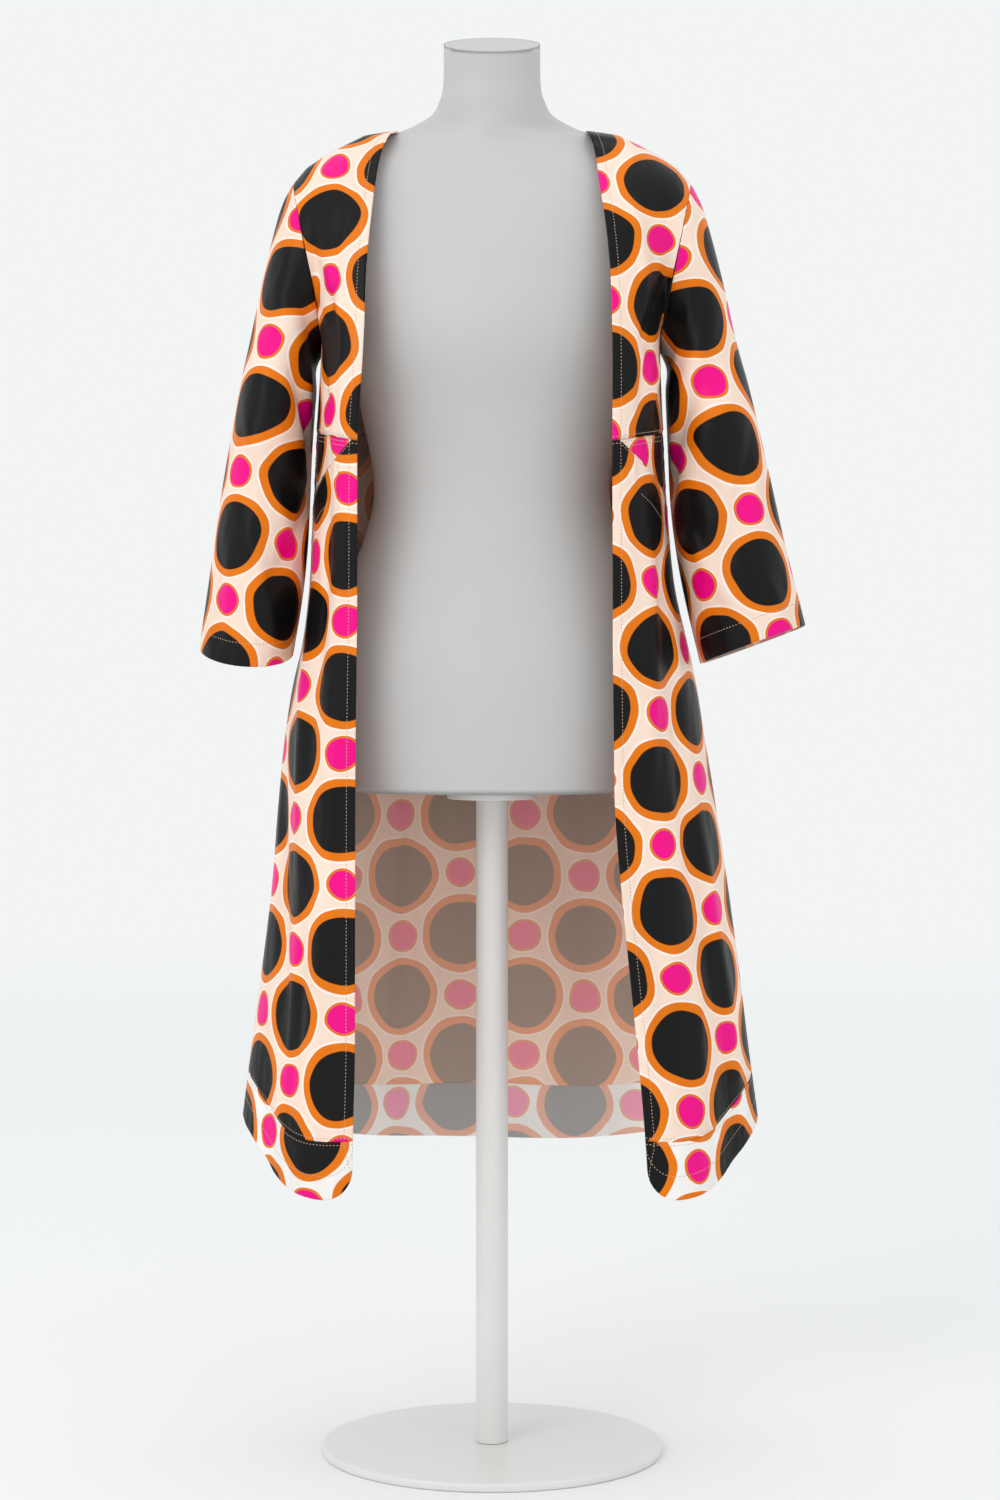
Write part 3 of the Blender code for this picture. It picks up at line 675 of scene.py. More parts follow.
def lengths(points, axis):
    """Length along a grid's rows (axis 1) or columns (axis 0), from the first point of each."""
    steps = np.linalg.norm(np.diff(points, axis=axis), axis=-1)
    start = np.zeros_like(steps.take([0], axis=axis))
    return np.concatenate([start, np.cumsum(steps, axis=axis)], axis=axis)


def crease_height(creases, across, down):
    """Soft troughs and ridges: each is a bell across its line that fades out towards both ends."""
    out = np.zeros_like(across)
    for at_across, at_down, length, angle, width, depth in zip(*creases.values()):
        turn = np.radians(angle)
        x = across - at_across
        y = down - at_down
        lengthwise = x * np.sin(turn) + y * np.cos(turn)
        aside = x * np.cos(turn) - y * np.sin(turn)
        out += depth * np.exp(-(aside / width) ** 2 - (2 * lengthwise / length) ** 4)
    return out


def pucker_height(place, from_edge):
    """Small puckers beside a sewn edge: three waves along it, dying away from it."""
    waves = np.zeros_like(place)
    for length, height, phase in zip(*PUCKER_WAVES.values()):
        waves += height * np.sin(2 * np.pi * place / length + phase)
    return PUCKER_HEIGHT * waves * np.exp(-from_edge / PUCKER_REACH)


def outward(points, inside, closed):
    """Unit normals of a grid, away from the points inside, and whether the grid's own order faces inwards."""
    normals = np.cross(np.gradient(points, axis=1), np.gradient(points, axis=0))
    normals /= np.linalg.norm(normals, axis=-1, keepdims=True)
    turned = bool(((points - inside) * normals).sum() < 0)
    if turned:
        normals = -normals
    if closed:
        middle = normals[:, 0] + normals[:, -1]
        middle /= np.linalg.norm(middle, axis=-1, keepdims=True)
        normals[:, 0] = middle
        normals[:, -1] = middle
    return normals, turned


def quads(rows, columns):
    """Places of a grid's points, and its faces as four neighbouring places each."""
    place = np.arange(rows * columns).reshape(rows, columns)
    corners = [place[:-1, :-1], place[:-1, 1:], place[1:, 1:], place[1:, :-1]]
    return place, np.stack(corners, axis=-1).reshape(-1, 4)


def grid_faces(rows, columns, closed):
    """Corners of a shell's faces as places in the grid and layers (0 outside, 1 inside): the outside, the
    inside turned over, and strips that close its edges."""
    place, face = quads(rows, columns)
    rims = [(place[0, 1:], place[0, :-1]), (place[-1, :-1], place[-1, 1:])]
    if not closed:
        rims += [(place[:-1, 0], place[1:, 0]), (place[1:, -1], place[:-1, -1])]
    edges = np.concatenate([np.stack([a, b, b, a], axis=-1) for a, b in rims])
    corners = np.concatenate([face, face[:, ::-1], edges])
    layers = np.concatenate([np.zeros_like(face), np.ones_like(face), np.tile([0, 0, 1, 1], (len(edges), 1))])
    slots = np.repeat([0, 1, 0], [len(face), len(face), len(edges)])
    return corners, layers, slots


def add_piece(name, mesh, materials):
    """Object at the origin that holds a mesh and rides on the frame's only body."""
    for finish in materials:
        mesh.materials.append(finish)
    mesh.shade_smooth()
    piece = bpy.data.objects.new(name, mesh)
    bpy.context.scene.collection.objects.link(piece)
    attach(piece, "root")
    return piece


def shell_mesh(name, outer, inner, flat, closed, turned):
    """Thin closed shell between two grids, with its flat place as the UV map, in metres."""
    rows, columns = outer.shape[:2]
    used = columns - 1 if closed else columns
    corners, layers, slots = grid_faces(rows, columns, closed)
    if turned:
        corners = corners[:, ::-1]
        layers = layers[:, ::-1]
    faces = layers * rows * used + corners // columns * used + corners % columns % used
    vertices = np.concatenate([outer[:, :used].reshape(-1, 3), inner[:, :used].reshape(-1, 3)])
    mesh = bpy.data.meshes.new(name)
    mesh.from_pydata(vertices.tolist(), [], faces.tolist())
    mesh.polygons.foreach_set("material_index", slots.astype(np.int32))
    places = flat.reshape(-1, 2)[corners.ravel()]
    mesh.uv_layers.new(name="cloth").uv.foreach_set("vector", places.ravel().astype(np.float32))
    return mesh


def solid_mesh(name, points):
    """Closed solid over a grid that goes all round and ends in a pole at both ends, welded."""
    rows, columns = points.shape[:2]
    faces = quads(rows, columns)[1]
    mesh = bpy.data.meshes.new(name)
    mesh.from_pydata(points.reshape(-1, 3).tolist(), [], faces.tolist())
    bm = bmesh.new()
    bm.from_mesh(mesh)
    bmesh.ops.remove_doubles(bm, verts=bm.verts, dist=WELD)
    bmesh.ops.recalc_face_normals(bm, faces=bm.faces)
    bm.to_mesh(mesh)
    bm.free()
    return mesh


def line_on(outer, normals, edge, distance, span=(0.0, 1.0)):
    """Line on a panel's outside at a distance from one of its edges, with its normals: on each grid line that
    leaves the edge, the place where its length reaches the distance."""
    if edge in ("top", "bottom"):
        outer = outer.swapaxes(0, 1)
        normals = normals.swapaxes(0, 1)
    if edge in ("end", "bottom"):
        outer = outer[:, ::-1]
        normals = normals[:, ::-1]
    first = int(span[0] * (len(outer) - 1))
    last = int(span[1] * (len(outer) - 1)) + 1
    outer = outer[first:last]
    normals = normals[first:last]
    reach = lengths(outer, 1)
    line = np.arange(len(outer))
    after = np.maximum(np.argmax(reach >= distance, axis=1), 1)
    before = reach[line, after - 1]
    share = ((distance - before) / (reach[line, after] - before))[:, None]
    return outer[line, after - 1] * (1 - share) + outer[line, after] * share, normals[line, after]


def stitch_mesh(name, lines, cloth):
    """Stitches along lines: each is a small spindle of four sides, its ends sunk towards the cloth."""
    centres = []
    for points, normals in lines:
        length = lengths(points[None], 1)[0]
        steps = np.arange(0.5 * cloth.pitch, length[-1] - 0.5 * cloth.pitch, cloth.pitch)
        at = read_line(points, length, steps)
        up = read_line(normals, length, steps)
        centres.append(np.stack([at, np.gradient(at, axis=0), up], axis=1))
    at, ahead, up = np.concatenate(centres).swapaxes(0, 1)
    ahead = ahead / np.linalg.norm(ahead, axis=-1, keepdims=True)
    aside = np.cross(up, ahead)
    aside /= np.linalg.norm(aside, axis=-1, keepdims=True)
    lift = np.cross(ahead, aside)
    half = cloth.thread / 2
    ring = np.array([(0.0, half), (half, 0.0), (0.0, -half), (-half, 0.0)])
    ends = cloth.stitch / 2
    spindle = np.concatenate([
        [(-ends, 0.0, -half)],
        np.column_stack([np.full(4, -STITCH_FULL * ends), ring]),
        np.column_stack([np.full(4, STITCH_FULL * ends), ring]),
        [(ends, 0.0, -half)],
    ])
    axes = np.stack([ahead, aside, lift], axis=1)
    vertices = (at[:, None] + np.einsum("kc,ncd->nkd", spindle, axes)).reshape(-1, 3)
    four = np.arange(4)
    following = (four + 1) % 4
    start = np.column_stack([np.zeros(4, int), 1 + four, 1 + following])
    finish = np.column_stack([np.full(4, 9), 5 + following, 5 + four])
    sides = np.column_stack([1 + four, 5 + four, 5 + following, 1 + following])
    shift = (np.arange(len(at)) * len(spindle))[:, None, None]
    faces = [(block[None] + shift).reshape(-1, block.shape[1]).tolist() for block in (start, finish, sides)]
    mesh = bpy.data.meshes.new(name)
    mesh.from_pydata(vertices.tolist(), [], faces[0] + faces[1] + faces[2])
    return mesh


def feed(tree, node, inputs):
    """Give each of a node's inputs, by name or number, a value or another node's output."""
    for key, value in inputs.items():
        if isinstance(value, bpy.types.NodeSocket):
            tree.links.new(value, node.inputs[key])
        else:
            node.inputs[key].default_value = value


def add(tree, kind, inputs, output=0, **settings):
    """Output of a new node of one kind, with its settings and inputs."""
    node = tree.nodes.new("ShaderNode" + kind)
    for name, value in settings.items():
        setattr(node, name, value)
    feed(tree, node, inputs)
    return node.outputs[output]


def new_material(name):
    """Empty material with its tree and its shader."""
    made = bpy.data.materials.new(name)
    made.use_nodes = True
    return made, made.node_tree, made.node_tree.nodes["Principled BSDF"]


def lattice_distance(tree, place, repeat, shift):
    """Distance to the nearest point of a square lattice: the place is wrapped into one repeat."""
    half = repeat / 2
    moved = add(tree, "VectorMath", {0: place, 1: (*shift, 0.0)}, operation="ADD")
    cell = add(tree, "VectorMath", {0: moved, 1: (half,) * 3, 2: (-half,) * 3}, operation="WRAP")
    return add(tree, "VectorMath", {0: cell}, "Value", operation="LENGTH")


def staggered_distance(tree, place, repeat, shifts):
    """Distance to the nearest point of two lattices, one between the points of the other."""
    first, second = (lattice_distance(tree, place, repeat, shift) for shift in shifts)
    return add(tree, "Math", {0: first, 1: second}, operation="MINIMUM")


# Outlines waver by about 2 mm over 45 mm, as hand-drawn ones do, with a soft edge and a paler halo
WAVER = 0.010
WAVER_WIDTH = 0.045
INK_EDGE = 0.0004
HALO = "fff6ee"
DISC_HALO = 0.0018
DOT_HALO = 0.0014

# Relief of the satin: width across and down the cloth, detail, strength and depth. Threads lie 0.15 mm apart,
# too fine to show, so they are drawn 0.9 mm apart. Slack hangs in long soft waves, and crumples are small
THREADS = (0.0009, 0.025, 2.0, 0.10, 0.0003)
SLACK = (0.038, 0.150, 2.0, 0.70, 0.006)
CRUMPLES = (0.016, 0.034, 3.0, 0.55, 0.0016)

# Painted shade: the colour is darkened along the slack's waves, down to this share; the cloth's back is paler
# by a share, and duller
SLACK_PAINTED_SHADE = 0.88
BACK_PALER = 0.42
FACE_GLOSS = (0.34, 0.50)
BACK_GLOSS = (0.55, 0.70)


def printed_satin(name, dots, ground, face):
    """Polyester satin, woven with long floats and printed on its face. The eye sees flat clear colours with a
    soft streaky gloss that runs with the threads, and a painted shade darkens the colours along the slack's
    long waves; the print shows through paler and duller on the back."""
    made, tree, shader = new_material(name)
    flat = add(tree, "UVMap", {}, uv_map="cloth")
    noise = add(tree, "TexNoise", {"Vector": flat, "Scale": 1 / WAVER_WIDTH, "Detail": 1.0}, "Color")
    centred = add(tree, "VectorMath", {0: noise, 1: (0.5,) * 3}, operation="SUBTRACT")
    waver = add(tree, "VectorMath", {0: centred, 1: (WAVER, WAVER, 0.0)}, operation="MULTIPLY")
    place = add(tree, "VectorMath", {0: flat, 1: waver}, operation="ADD")
    half = dots.repeat / 2
    discs = staggered_distance(tree, place, dots.repeat, ((0.0, 0.0), (half, half)))
    spots = staggered_distance(tree, place, dots.repeat, ((half, 0.0), (0.0, half)))
    colour = tuple(ground)
    for distance, radius, paint in (
        (discs, dots.disc + DISC_HALO, linear(HALO)),
        (discs, dots.disc, dots.rim),
        (discs, dots.disc - dots.disc_ring, dots.ink),
        (spots, dots.dot + DOT_HALO, linear(HALO)),
        (spots, dots.dot, dots.rim),
        (spots, dots.dot - dots.dot_ring, dots.spot),
    ):
        edge = {"From Min": radius - INK_EDGE, "From Max": radius + INK_EDGE, "To Min": 1.0, "To Max": 0.0}
        inside = add(tree, "MapRange", {"Value": distance, **edge})
        colour = add(tree, "Mix", {0: inside, 6: colour, 7: tuple(paint)}, 2, data_type="RGBA")
    heights = []
    normal = {}
    for across, down, detail, strength, depth in (THREADS, SLACK, CRUMPLES):
        stretched = add(tree, "Mapping", {"Vector": flat, "Scale": (1 / across, 1 / down, 1.0)})
        height = add(tree, "TexNoise", {"Vector": stretched, "Scale": 1.0, "Detail": detail})
        relief = {"Strength": strength, "Distance": depth, "Height": height}
        normal = {"Normal": add(tree, "Bump", {**relief, **normal})}
        heights.append(height)
    # Painted shade of the slack: where its waves sink, the print's colour is darkened down to a share of it
    waves = {"Value": heights[1], "From Min": 0.3, "From Max": 0.7, "To Min": SLACK_PAINTED_SHADE, "To Max": 1.0}
    painted_shade = add(tree, "MapRange", waves)
    colour = add(tree, "Mix", {0: 1.0, 6: colour, 7: painted_shade}, 2, data_type="RGBA", blend_type="MULTIPLY")
    if not face:
        colour = add(tree, "Mix", {0: BACK_PALER, 6: colour, 7: tuple(ground)}, 2, data_type="RGBA")
    low, high = FACE_GLOSS if face else BACK_GLOSS
    gloss = add(tree, "MapRange", {"Value": heights[0], "To Min": low, "To Max": high})
    feed(tree, shader, {"Base Color": colour, "Roughness": gloss, **normal})
    feed(tree, shader, {"Sheen Weight": 0.02, "Sheen Roughness": 0.35, "Specular IOR Level": 0.16})
    return made


def sewing_thread():
    """Polyester sewing thread, spun and twisted: a fine slightly fuzzy cord, darker than the ground."""
    made, tree, shader = new_material("spun polyester sewing thread")
    place = add(tree, "TexCoord", {}, "Object")
    # Twist of 0.6 mm, seen as fine light and dark flecks
    twist = add(tree, "TexNoise", {"Vector": place, "Scale": 1 / 0.0006, "Detail": 1.0})
    colour = add(tree, "Mix", {0: twist, 6: linear("b58f78"), 7: linear("dcb9a2")}, 2, data_type="RGBA")
    feed(tree, shader, {"Base Color": colour, "Roughness": 0.75, "Sheen Weight": 0.2})
    return made


def sprayed_coat(name, colour, darkest, cloud, detail, gloss, grain, relief):
    """Sprayed coat of paint or powder: its colour clouds over to a darker share of it, its gloss follows the
    clouds between two values, and a fine grain gives it relief, a strength and a depth."""
    made, tree, shader = new_material(name)
    place = add(tree, "TexCoord", {}, "Object")
    clouds = add(tree, "TexNoise", {"Vector": place, "Scale": 1 / cloud, "Detail": detail})
    darker = tuple(darkest * value for value in colour[:3]) + (1.0,)
    tint = add(tree, "Mix", {0: clouds, 6: darker, 7: tuple(colour)}, 2, data_type="RGBA")
    rough = add(tree, "MapRange", {"Value": clouds, "To Min": gloss[0], "To Max": gloss[1]})
    grains = add(tree, "TexNoise", {"Vector": place, "Scale": 1 / grain, "Detail": 1.0})
    bump = add(tree, "Bump", {"Strength": relief[0], "Distance": relief[1], "Height": grains})
    feed(tree, shader, {"Base Color": tint, "Roughness": rough, "Normal": bump})
    return made


def moulded_form_skin(colour):
    """Glass-fibre shell, moulded and sprayed with a half-matt paint: even pale grey, clouded over 120 mm,
    with a faint orange peel of 2.5 mm and soft broad highlights."""
    return sprayed_coat(
        "sprayed glass fibre form", colour, darkest=0.93, cloud=0.120, detail=2.0, gloss=(0.46, 0.58),
        grain=0.0025, relief=(0.08, 0.0003),
    )


def powder_coated_steel(colour):
    """Steel, powder coated and baked: a smooth white skin, dusty over 60 mm, its gloss pebbled by 1.5 mm."""
    return sprayed_coat(
        "powder coated steel", colour, darkest=0.92, cloud=0.060, detail=3.0, gloss=(0.28, 0.42),
        grain=0.0015, relief=(0.12, 0.0002),
    )


def studio_paper(colour):
    """Seamless studio paper: even, matt and pale, and fading into the sky far out, so that no edge shows."""
    made, tree, shader = new_material("matt studio paper")
    place = add(tree, "TexCoord", {}, "Object")
    # Paper fibres, drawn as 6 mm flecks
    fibre = add(tree, "TexNoise", {"Vector": place, "Scale": 1 / 0.006, "Detail": 2.0})
    bump = add(tree, "Bump", {"Strength": 0.03, "Distance": 0.0003, "Height": fibre})
    feed(tree, shader, {"Base Color": colour, "Roughness": 0.9, "Specular IOR Level": 0.1, "Normal": bump})
    far = add(tree, "VectorMath", {0: place}, "Value", operation="LENGTH")
    limits = {"Value": far, "From Min": FLOOR_FADE[0], "From Max": FLOOR_FADE[1]}
    fade = add(tree, "MapRange", limits, interpolation_type="SMOOTHSTEP")
    clear = add(tree, "BsdfTransparent", {})
    mixed = add(tree, "MixShader", {0: fade, 1: shader.outputs[0], 2: clear})
    feed(tree, tree.nodes["Material Output"], {"Surface": mixed})
    return made


def shared(name, make, *values):
    """A material that several pieces share, made the first time it is asked for."""
    return bpy.data.materials.get(name) or make(*values)


def satin_pair(scene, band):
    """Face and back of the coat's satin, or of the hem bands' satin with its whiter ground."""
    dots = scene.duster_print
    ground = dots.band_ground if band else dots.ground
    kind = "printed polyester satin hem band" if band else "printed polyester satin"
    names = {kind + " face": True, kind + " back": False}
    return [shared(name, printed_satin, name, dots, ground, face) for name, face in names.items()]


def add_panel(scene, node, points, stitching, creases=None, inside=None, down=None, start=0, axis=UP):
    """A panel of cloth that stands for a node of the frame: a shell over a grid, with its creases, puckers
    and rounded edges, its flat size, and its stitching as a piece of its own. Its flat place is its rows'
    length, seen along the axis, and its way down, which is from the waist seam unless it is given. The points
    inside it are on the upright axis unless they are given."""
    cloth = scene.duster_cloth
    band = "hem_band" in node
    inside = points * UP if inside is None else inside
    down = WAIST_SIDE - points[..., 2] if down is None else down
    closed = bool(np.allclose(points[:, 0], points[:, -1]))
    normals, turned = outward(points, inside, closed)
    width = lengths(points, 1)
    drop = lengths(points, 0)
    across = lengths(points - (points @ axis)[..., None] * axis, 1)
    across = across - across[:, start:start + 1]
    from_edge = np.minimum(drop, drop[-1:] - drop)
    if not closed:
        from_edge = np.minimum(from_edge, np.minimum(width, width[:, -1:] - width))
    lift = pucker_height(across + down, from_edge)
    if creases:
        calm = np.clip(from_edge / SEAM_CALM, 0.0, 1.0)
        lift += cloth.crease * calm * crease_height(creases, across, down)
    inner = points + normals * lift[..., None]
    thin = np.sqrt(1.0 - (1.0 - np.clip(from_edge / cloth.rounding, 0.0, 1.0)) ** 2)
    outer = inner + normals * (cloth.wall * (EDGE_WALL + (1 - EDGE_WALL) * thin))[..., None]
    flat = np.stack([across + CUT_FROM[node][0], -down + CUT_FROM[node][1]], axis=-1)
    mesh = shell_mesh(node + "_cloth", outer, inner, flat, closed, turned)
    piece = add_piece(node + "_cloth", mesh, satin_pair(scene, band))
    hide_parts(node)
    thread = [shared("spun polyester sewing thread", sewing_thread)]
    lines = [line_on(outer, normals, *line) for line in stitching]
    sewn = add_piece(node + "_stitches", stitch_mesh(node + "_stitches", lines, cloth), thread)


def climb(points, column):
    """Way up the cloth of a bodice: at each height, the length of one of its columns from the waist seam."""
    return np.interp(points[..., 2], points[:, column, 2], lengths(points, 0)[:, column])


class DUSTER_OT_front_bodices(Operator):
    """Upper fronts, from the waist seam to the shoulder seam"""

    bl_idname = "duster.front_bodices"
    bl_label = "Front bodices"

    def execute(self, context):
        cloth = context.scene.duster_cloth
        lines = [("start", cloth.edge_inset), ("top", cloth.seam_inset), ("bottom", cloth.seam_inset)]
        for name, side in SIDES.items():
            points = bodice_front(side, spread(*BODICE_ACROSS), bodice_rows(BODICE_ROWS))
            node = "front_bodice_" + name
            add_panel(context.scene, node, points, lines, BODICE_CREASES[name], down=climb(points, 0))
        return {"FINISHED"}


class DUSTER_OT_front_skirts(Operator):
    """Lower fronts, from the waist seam and the slanted pocket mouth to the band seam"""

    bl_idname = "duster.front_skirts"
    bl_label = "Front skirts"

    def execute(self, context):
        cloth = context.scene.duster_cloth
        lines = [("start", cloth.edge_inset), ("top", cloth.seam_inset)]
        lines += [("top", BAG_INSET, BAG_SPAN), ("bottom", cloth.seam_inset)]
        s = spread(*SKIRT_ACROSS) * SIDE_END
        for name, side in SIDES.items():
            points = strip(side, True, s, spread(*SKIRT_DOWN), pocket_mouth(s), band_seam(True, s))
            add_panel(context.scene, "front_skirt_" + name, points, lines, SKIRT_CREASES[name])
        return {"FINISHED"}


class DUSTER_OT_pocket_sides(Operator):
    """Hip pieces behind the pocket mouths"""

    bl_idname = "duster.pocket_sides"
    bl_label = "Pocket sides"

    def execute(self, context):
        inset = context.scene.duster_cloth.seam_inset
        lines = [("top", inset, HIP_SPAN), ("top", HIP_SECOND * inset, HIP_SPAN)]
        s = (POCKET_START + (1 - POCKET_START) * spread(*POCKET_ACROSS)) * SIDE_END
        mouth = pocket_mouth(s) - POCKET_TUCK
        for name, side in SIDES.items():
            points = strip(side, True, s, spread(*POCKET_DOWN), waist(s), mouth, POCKET_INSET)
            add_panel(context.scene, "pocket_side_" + name, points, lines)
        return {"FINISHED"}


class DUSTER_OT_hem_bands(Operator):
    """Bands along the rounded front hems and along the back hem"""

    bl_idname = "duster.hem_bands"
    bl_label = "Hem bands"

    def execute(self, context):
        cloth = context.scene.duster_cloth
        lines = [("bottom", cloth.hem_inset), ("top", cloth.seam_inset)]
        rows = spread(*BAND_DOWN)
        s = spread(*BAND_ACROSS) * SIDE_END
        for name, side in SIDES.items():
            points = strip(side, True, s, rows, band_seam(True, s), hem(side, True, s))
            edge = ("start", cloth.edge_inset)
            add_panel(context.scene, "front_hem_band_" + name, points, lines + [edge])
        s = half_stations(*BACK_BAND_ACROSS) * SIDE_END
        seam = band_seam(False, s)
        halves = [strip(side, False, s, rows, seam, hem(side, False, s)) for side in SIDES.values()]
        add_panel(context.scene, "back_hem_band", both_halves(*halves), lines, start=len(s) - 1)
        return {"FINISHED"}


class DUSTER_OT_backs(Operator):
    """Upper back, and lower backs with a centre back seam, joined by the waist seam"""

    bl_idname = "duster.backs"
    bl_label = "Backs"

    def execute(self, context):
        inset = context.scene.duster_cloth.seam_inset
        s = half_stations(*BACK_BODICE_ACROSS)
        rows = bodice_rows(BACK_BODICE_ROWS)
        upper = both_halves(*(back_bodice_half(side, s, rows) for side in SIDES.values()))
        lines = [("bottom", BACK_WAIST_INSET), ("top", inset)]
        up = climb(upper, len(s) // 2)
        add_panel(context.scene, "back_bodice", upper, lines, BACK_BODICE_CREASES, down=up, start=len(s) - 1)
        lines = [("bottom", inset), ("top", inset), ("start", inset)]
        s = spread(*BACK_SKIRT_ACROSS) * SIDE_END
        level = np.full_like(s, WAIST_SIDE)
        for name, side in SIDES.items():
            lower = strip(side, False, s, spread(*BACK_SKIRT_DOWN), level, band_seam(False, s))
            add_panel(context.scene, "back_skirt_" + name, lower, lines, BACK_SKIRT_CREASES[name])
        return {"FINISHED"}


class DUSTER_OT_sleeves(Operator):
    """Set-in three-quarter sleeves, open at the cuffs"""

    bl_idname = "duster.sleeves"
    bl_label = "Sleeves"

    def execute(self, context):
        lines = [("bottom", context.scene.duster_cloth.hem_inset)]
        angles = np.linspace(np.pi, 3 * np.pi, SLEEVE_ROUND)
        rings = spread(*SLEEVE_DOWN) * (len(SLEEVE_LEFT["depth"]) - 1)
        for name, side in SIDES.items():
            points = sleeve(side, rings, angles)
            middle = points[:, :-1].mean(axis=1, keepdims=True)
            axis = middle[-1, 0] - middle[0, 0]
            axis = axis / np.linalg.norm(axis)
            down = (points - middle[0, 0]) @ axis
            node = "sleeve_" + name
            add_panel(context.scene, node, points, lines, SLEEVE_CREASES[name], middle, down, axis=axis)
        return {"FINISHED"}


def form_points():
    """Dress form: rings read smoothly between the table's rows, x a cosine and y a power of a sine, with a
    rounded edge and a flat cap at both ends; the neck's cap slopes down to the front."""
    shoulder = {
        "height": SHOULDER["height"] - REST_GAP,
        "half_width": SHOULDER["out"],
        "middle": np.full_like(SHOULDER["out"], SEAM_LINE),
        **FORM_SHOULDER,
    }
    names = FORM_COLUMNS.split()
    rows = {name: np.concatenate([FORM_BODY[name], shoulder[name][::-1], FORM_NECK[name]]) for name in names}
    index = np.arange(len(rows["height"]), dtype=float)
    fine = np.linspace(0.0, index[-1], FORM_ROWS_BETWEEN * (len(index) - 1) + 1)
    at = {name: smooth(index, values, fine)[:, None] for name, values in rows.items()}
    angles = np.linspace(0.0, 2 * np.pi, FORM_SIDES + 1)[None, :]
    s = np.sin(angles)
    depth = np.where(s < 0, at["front"], at["back"]) - FORM_INSET
    x = (at["half_width"] - FORM_INSET) * np.cos(angles)
    y = at["middle"] + depth * np.sign(s) * np.abs(s) ** at["thin"]
    z = np.repeat(at["height"], FORM_SIDES + 1, axis=1)
    slope = NECK_CAP_SLOPE * np.clip(fine - index[-2], 0.0, 1.0)[:, None]
    body = np.stack([x, y, z + slope * y], axis=-1)
    return np.concatenate([cap_rows(body[0], -1.0)[::-1], body, cap_rows(body[-1], 1.0)])


def cap_rows(ring, up):
    """Rows that close a ring: a quarter round at its edge, then rings shrinking to its middle."""
    middle = ring[:-1].mean(axis=0)
    turn = np.linspace(0.0, np.pi / 2, ROUND_STEPS)[1:]
    radius = np.linalg.norm(ring - middle, axis=-1).mean()
    edge = FORM_EDGE / radius
    shrink = np.concatenate([1 - edge * (1 - np.cos(turn)), CAP_ROWS * (1 - edge)])
    raised = np.concatenate([FORM_EDGE * np.sin(turn), np.full(len(CAP_ROWS), FORM_EDGE)])
    rows = middle + (ring - middle)[None] * shrink[:, None, None]
    rows[..., 2] += up * (raised - FORM_EDGE)[:, None]
    return rows


class DUSTER_OT_dress_form(Operator):
    """Limbless dress form with a flat neck cap"""

    bl_idname = "duster.dress_form"
    bl_label = "Dress form"

    def execute(self, context):
        skin = moulded_form_skin(context.scene.duster_form.skin)
        piece = add_piece("dress_form", solid_mesh("dress_form", form_points()), [skin])
        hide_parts("form_torso")
        return {"FINISHED"}


def turned_piece(radius, bottom, top, rounding):
    """Turned piece: a profile of two rounded corners carried round the upright axis, closed at both ends."""
    turn = np.linspace(0.0, np.pi / 2, ROUND_STEPS)
    out = radius - rounding
    lower = out + rounding * np.sin(turn)
    upper = out + rounding * np.cos(turn)
    across = np.concatenate([[0.0, out / 2], lower, upper, [out / 2, 0.0]])
    lower = bottom + rounding * (1 - np.cos(turn))
    upper = top - rounding * (1 - np.sin(turn))
    up = np.concatenate([[bottom, bottom], lower, upper, [top, top]])
    angles = np.linspace(0.0, 2 * np.pi, STAND_SIDES + 1)
    x = across[:, None] * np.cos(angles)
    y = across[:, None] * np.sin(angles)
    return np.stack([x, y, np.repeat(up[:, None], len(angles), axis=1)], axis=-1)


class DUSTER_OT_stand(Operator):
    """Round base plate, pole and the flange under the form"""

    bl_idname = "duster.stand"
    bl_label = "Stand"

    def execute(self, context):
        form = context.scene.duster_form
        paint = powder_coated_steel(form.paint)
        for node, radius, rounding in (
            ("stand_base", form.base_radius, form.base_round),
            ("stand_pole", form.pole_radius, form.small_round),
            ("stand_flange", form.flange_radius, form.small_round),
        ):
            low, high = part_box(node)
            points = turned_piece(radius, low[2], high[2], rounding)
            piece = add_piece(node + "_painted", solid_mesh(node + "_painted", points), [paint])
            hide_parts(node)
        return {"FINISHED"}


# Half width of the floor, and where it starts to fade into the sky and has faded out
FLOOR_HALF = 6.0
FLOOR_FADE = (2.0, 5.5)

# Soft boxes: place, point they face, width, power and colour
SOFT_BOXES = (
    ("key", (-2.4, -3.2, 2.9), (0.0, 0.0, 0.95), 2.4, 44.0, "fffaf5"),
    ("fill", (2.8, -2.8, 1.7), (0.0, 0.0, 0.80), 2.6, 3.0, "f7faff"),
    ("top", (0.2, -0.4, 3.6), (0.0, 0.1, 0.70), 2.6, 10.0, "ffffff"),
)
SKY_COLOUR = "f6f8f8"
SKY_POWER = 0.97


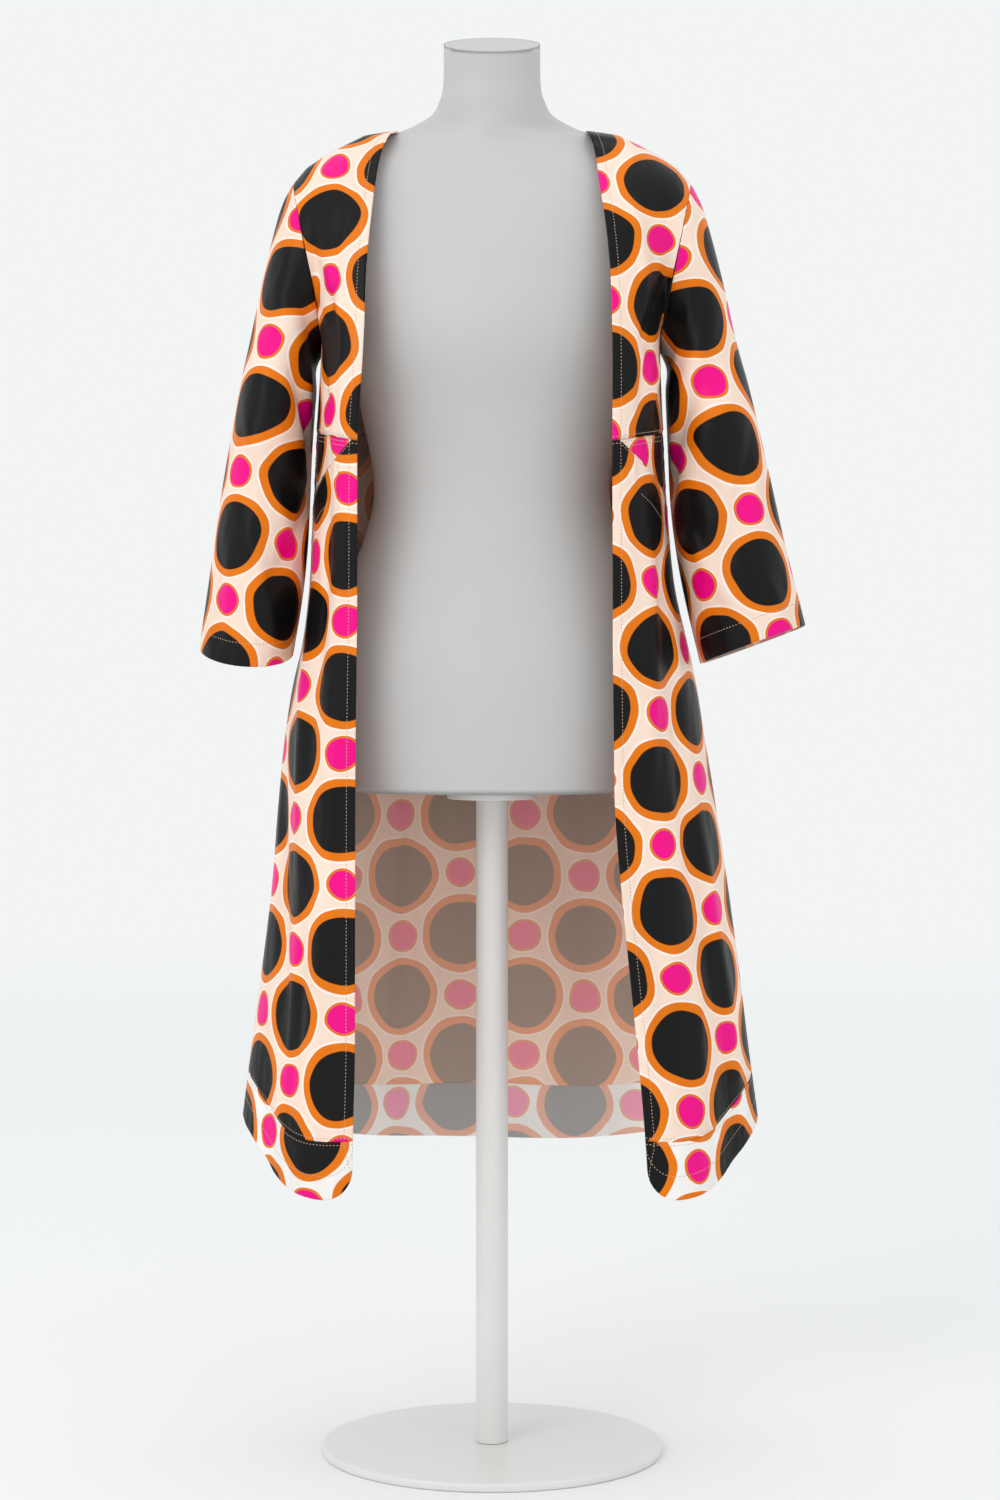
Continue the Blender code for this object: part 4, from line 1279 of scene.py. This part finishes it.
class DUSTER_OT_stage(Operator):
    """Pale floor, soft studio light and the camera"""

    bl_idname = "duster.stage"
    bl_label = "Stage"

    def execute(self, context):
        scene = context.scene
        stage = scene.duster_stage
        corners = FLOOR_HALF * np.array([(-1, -1, 0), (1, -1, 0), (1, 1, 0), (-1, 1, 0)])
        mesh = bpy.data.meshes.new("floor_paper")
        mesh.from_pydata(corners.tolist(), [], [(0, 1, 2, 3)])
        mesh.materials.append(studio_paper(stage.floor))
        floor = bpy.data.objects.new("floor_paper", mesh)
        scene.collection.objects.link(floor)

        for name, place, target, width, power, colour in SOFT_BOXES:
            light = bpy.data.lights.new(name, "AREA")
            light.size = width
            light.energy = power
            light.color = linear(colour)[:3]
            box = bpy.data.objects.new(name, light)
            box.location = place
            away = np.array(place) - np.array(target)
            across = np.hypot(away[0], away[1])
            box.rotation_euler = (np.arctan2(across, away[2]), 0.0, np.arctan2(away[0], -away[1]))
            scene.collection.objects.link(box)

        world = bpy.data.worlds.new("studio")
        world.use_nodes = True
        sky = world.node_tree.nodes["Background"]
        sky.inputs["Color"].default_value = linear(SKY_COLOUR)
        sky.inputs["Strength"].default_value = SKY_POWER
        scene.world = world
        scene.view_settings.view_transform = "Standard"

        lens = bpy.data.cameras.new("camera")
        lens.lens = stage.lens
        lens.shift_y = stage.shift
        camera = bpy.data.objects.new("camera", lens)
        camera.location = (stage.aside, -stage.distance, stage.height)
        camera.rotation_euler = (np.pi / 2, 0.0, 0.0)
        scene.collection.objects.link(camera)
        scene.camera = camera
        return {"FINISHED"}


class DUSTER_PT_sidebar(Panel):
    """Sizes, colours and steps of the coat"""

    bl_idname = "DUSTER_PT_sidebar"
    bl_label = "Duster coat"
    bl_space_type = "VIEW_3D"
    bl_region_type = "UI"
    bl_category = "Duster coat"

    def draw(self, context):
        for group in GROUPS:
            box = self.layout.box()
            settings = getattr(context.scene, group)
            for name in settings.bl_rna.properties.keys():
                if name not in ("rna_type", "name"):
                    box.prop(settings, name)
        for step in STEPS:
            self.layout.operator(step.bl_idname)


GROUPS = {
    "duster_cloth": DusterCloth,
    "duster_print": DusterPrint,
    "duster_form": DusterForm,
    "duster_stage": DusterStage,
}
STEPS = (
    DUSTER_OT_stage,
    DUSTER_OT_dress_form,
    DUSTER_OT_stand,
    DUSTER_OT_front_bodices,
    DUSTER_OT_front_skirts,
    DUSTER_OT_pocket_sides,
    DUSTER_OT_hem_bands,
    DUSTER_OT_backs,
    DUSTER_OT_sleeves,
)


def register():
    """Register the settings, the steps and the sidebar."""
    for kind in (*GROUPS.values(), *STEPS, DUSTER_PT_sidebar):
        bpy.utils.register_class(kind)
    for name, kind in GROUPS.items():
        setattr(bpy.types.Scene, name, PointerProperty(type=kind))


def unregister():
    """Take the settings, the steps and the sidebar away again."""
    for name in GROUPS:
        delattr(bpy.types.Scene, name)
    for kind in reversed((*GROUPS.values(), *STEPS, DUSTER_PT_sidebar)):
        bpy.utils.unregister_class(kind)


def main():
    """Build everything in order."""
    register()
    bpy.ops.duster.stage()
    bpy.ops.duster.dress_form()
    bpy.ops.duster.stand()
    bpy.ops.duster.front_bodices()
    bpy.ops.duster.front_skirts()
    bpy.ops.duster.pocket_sides()
    bpy.ops.duster.hem_bands()
    bpy.ops.duster.backs()
    bpy.ops.duster.sleeves()


if __name__ == "__main__":
    main()
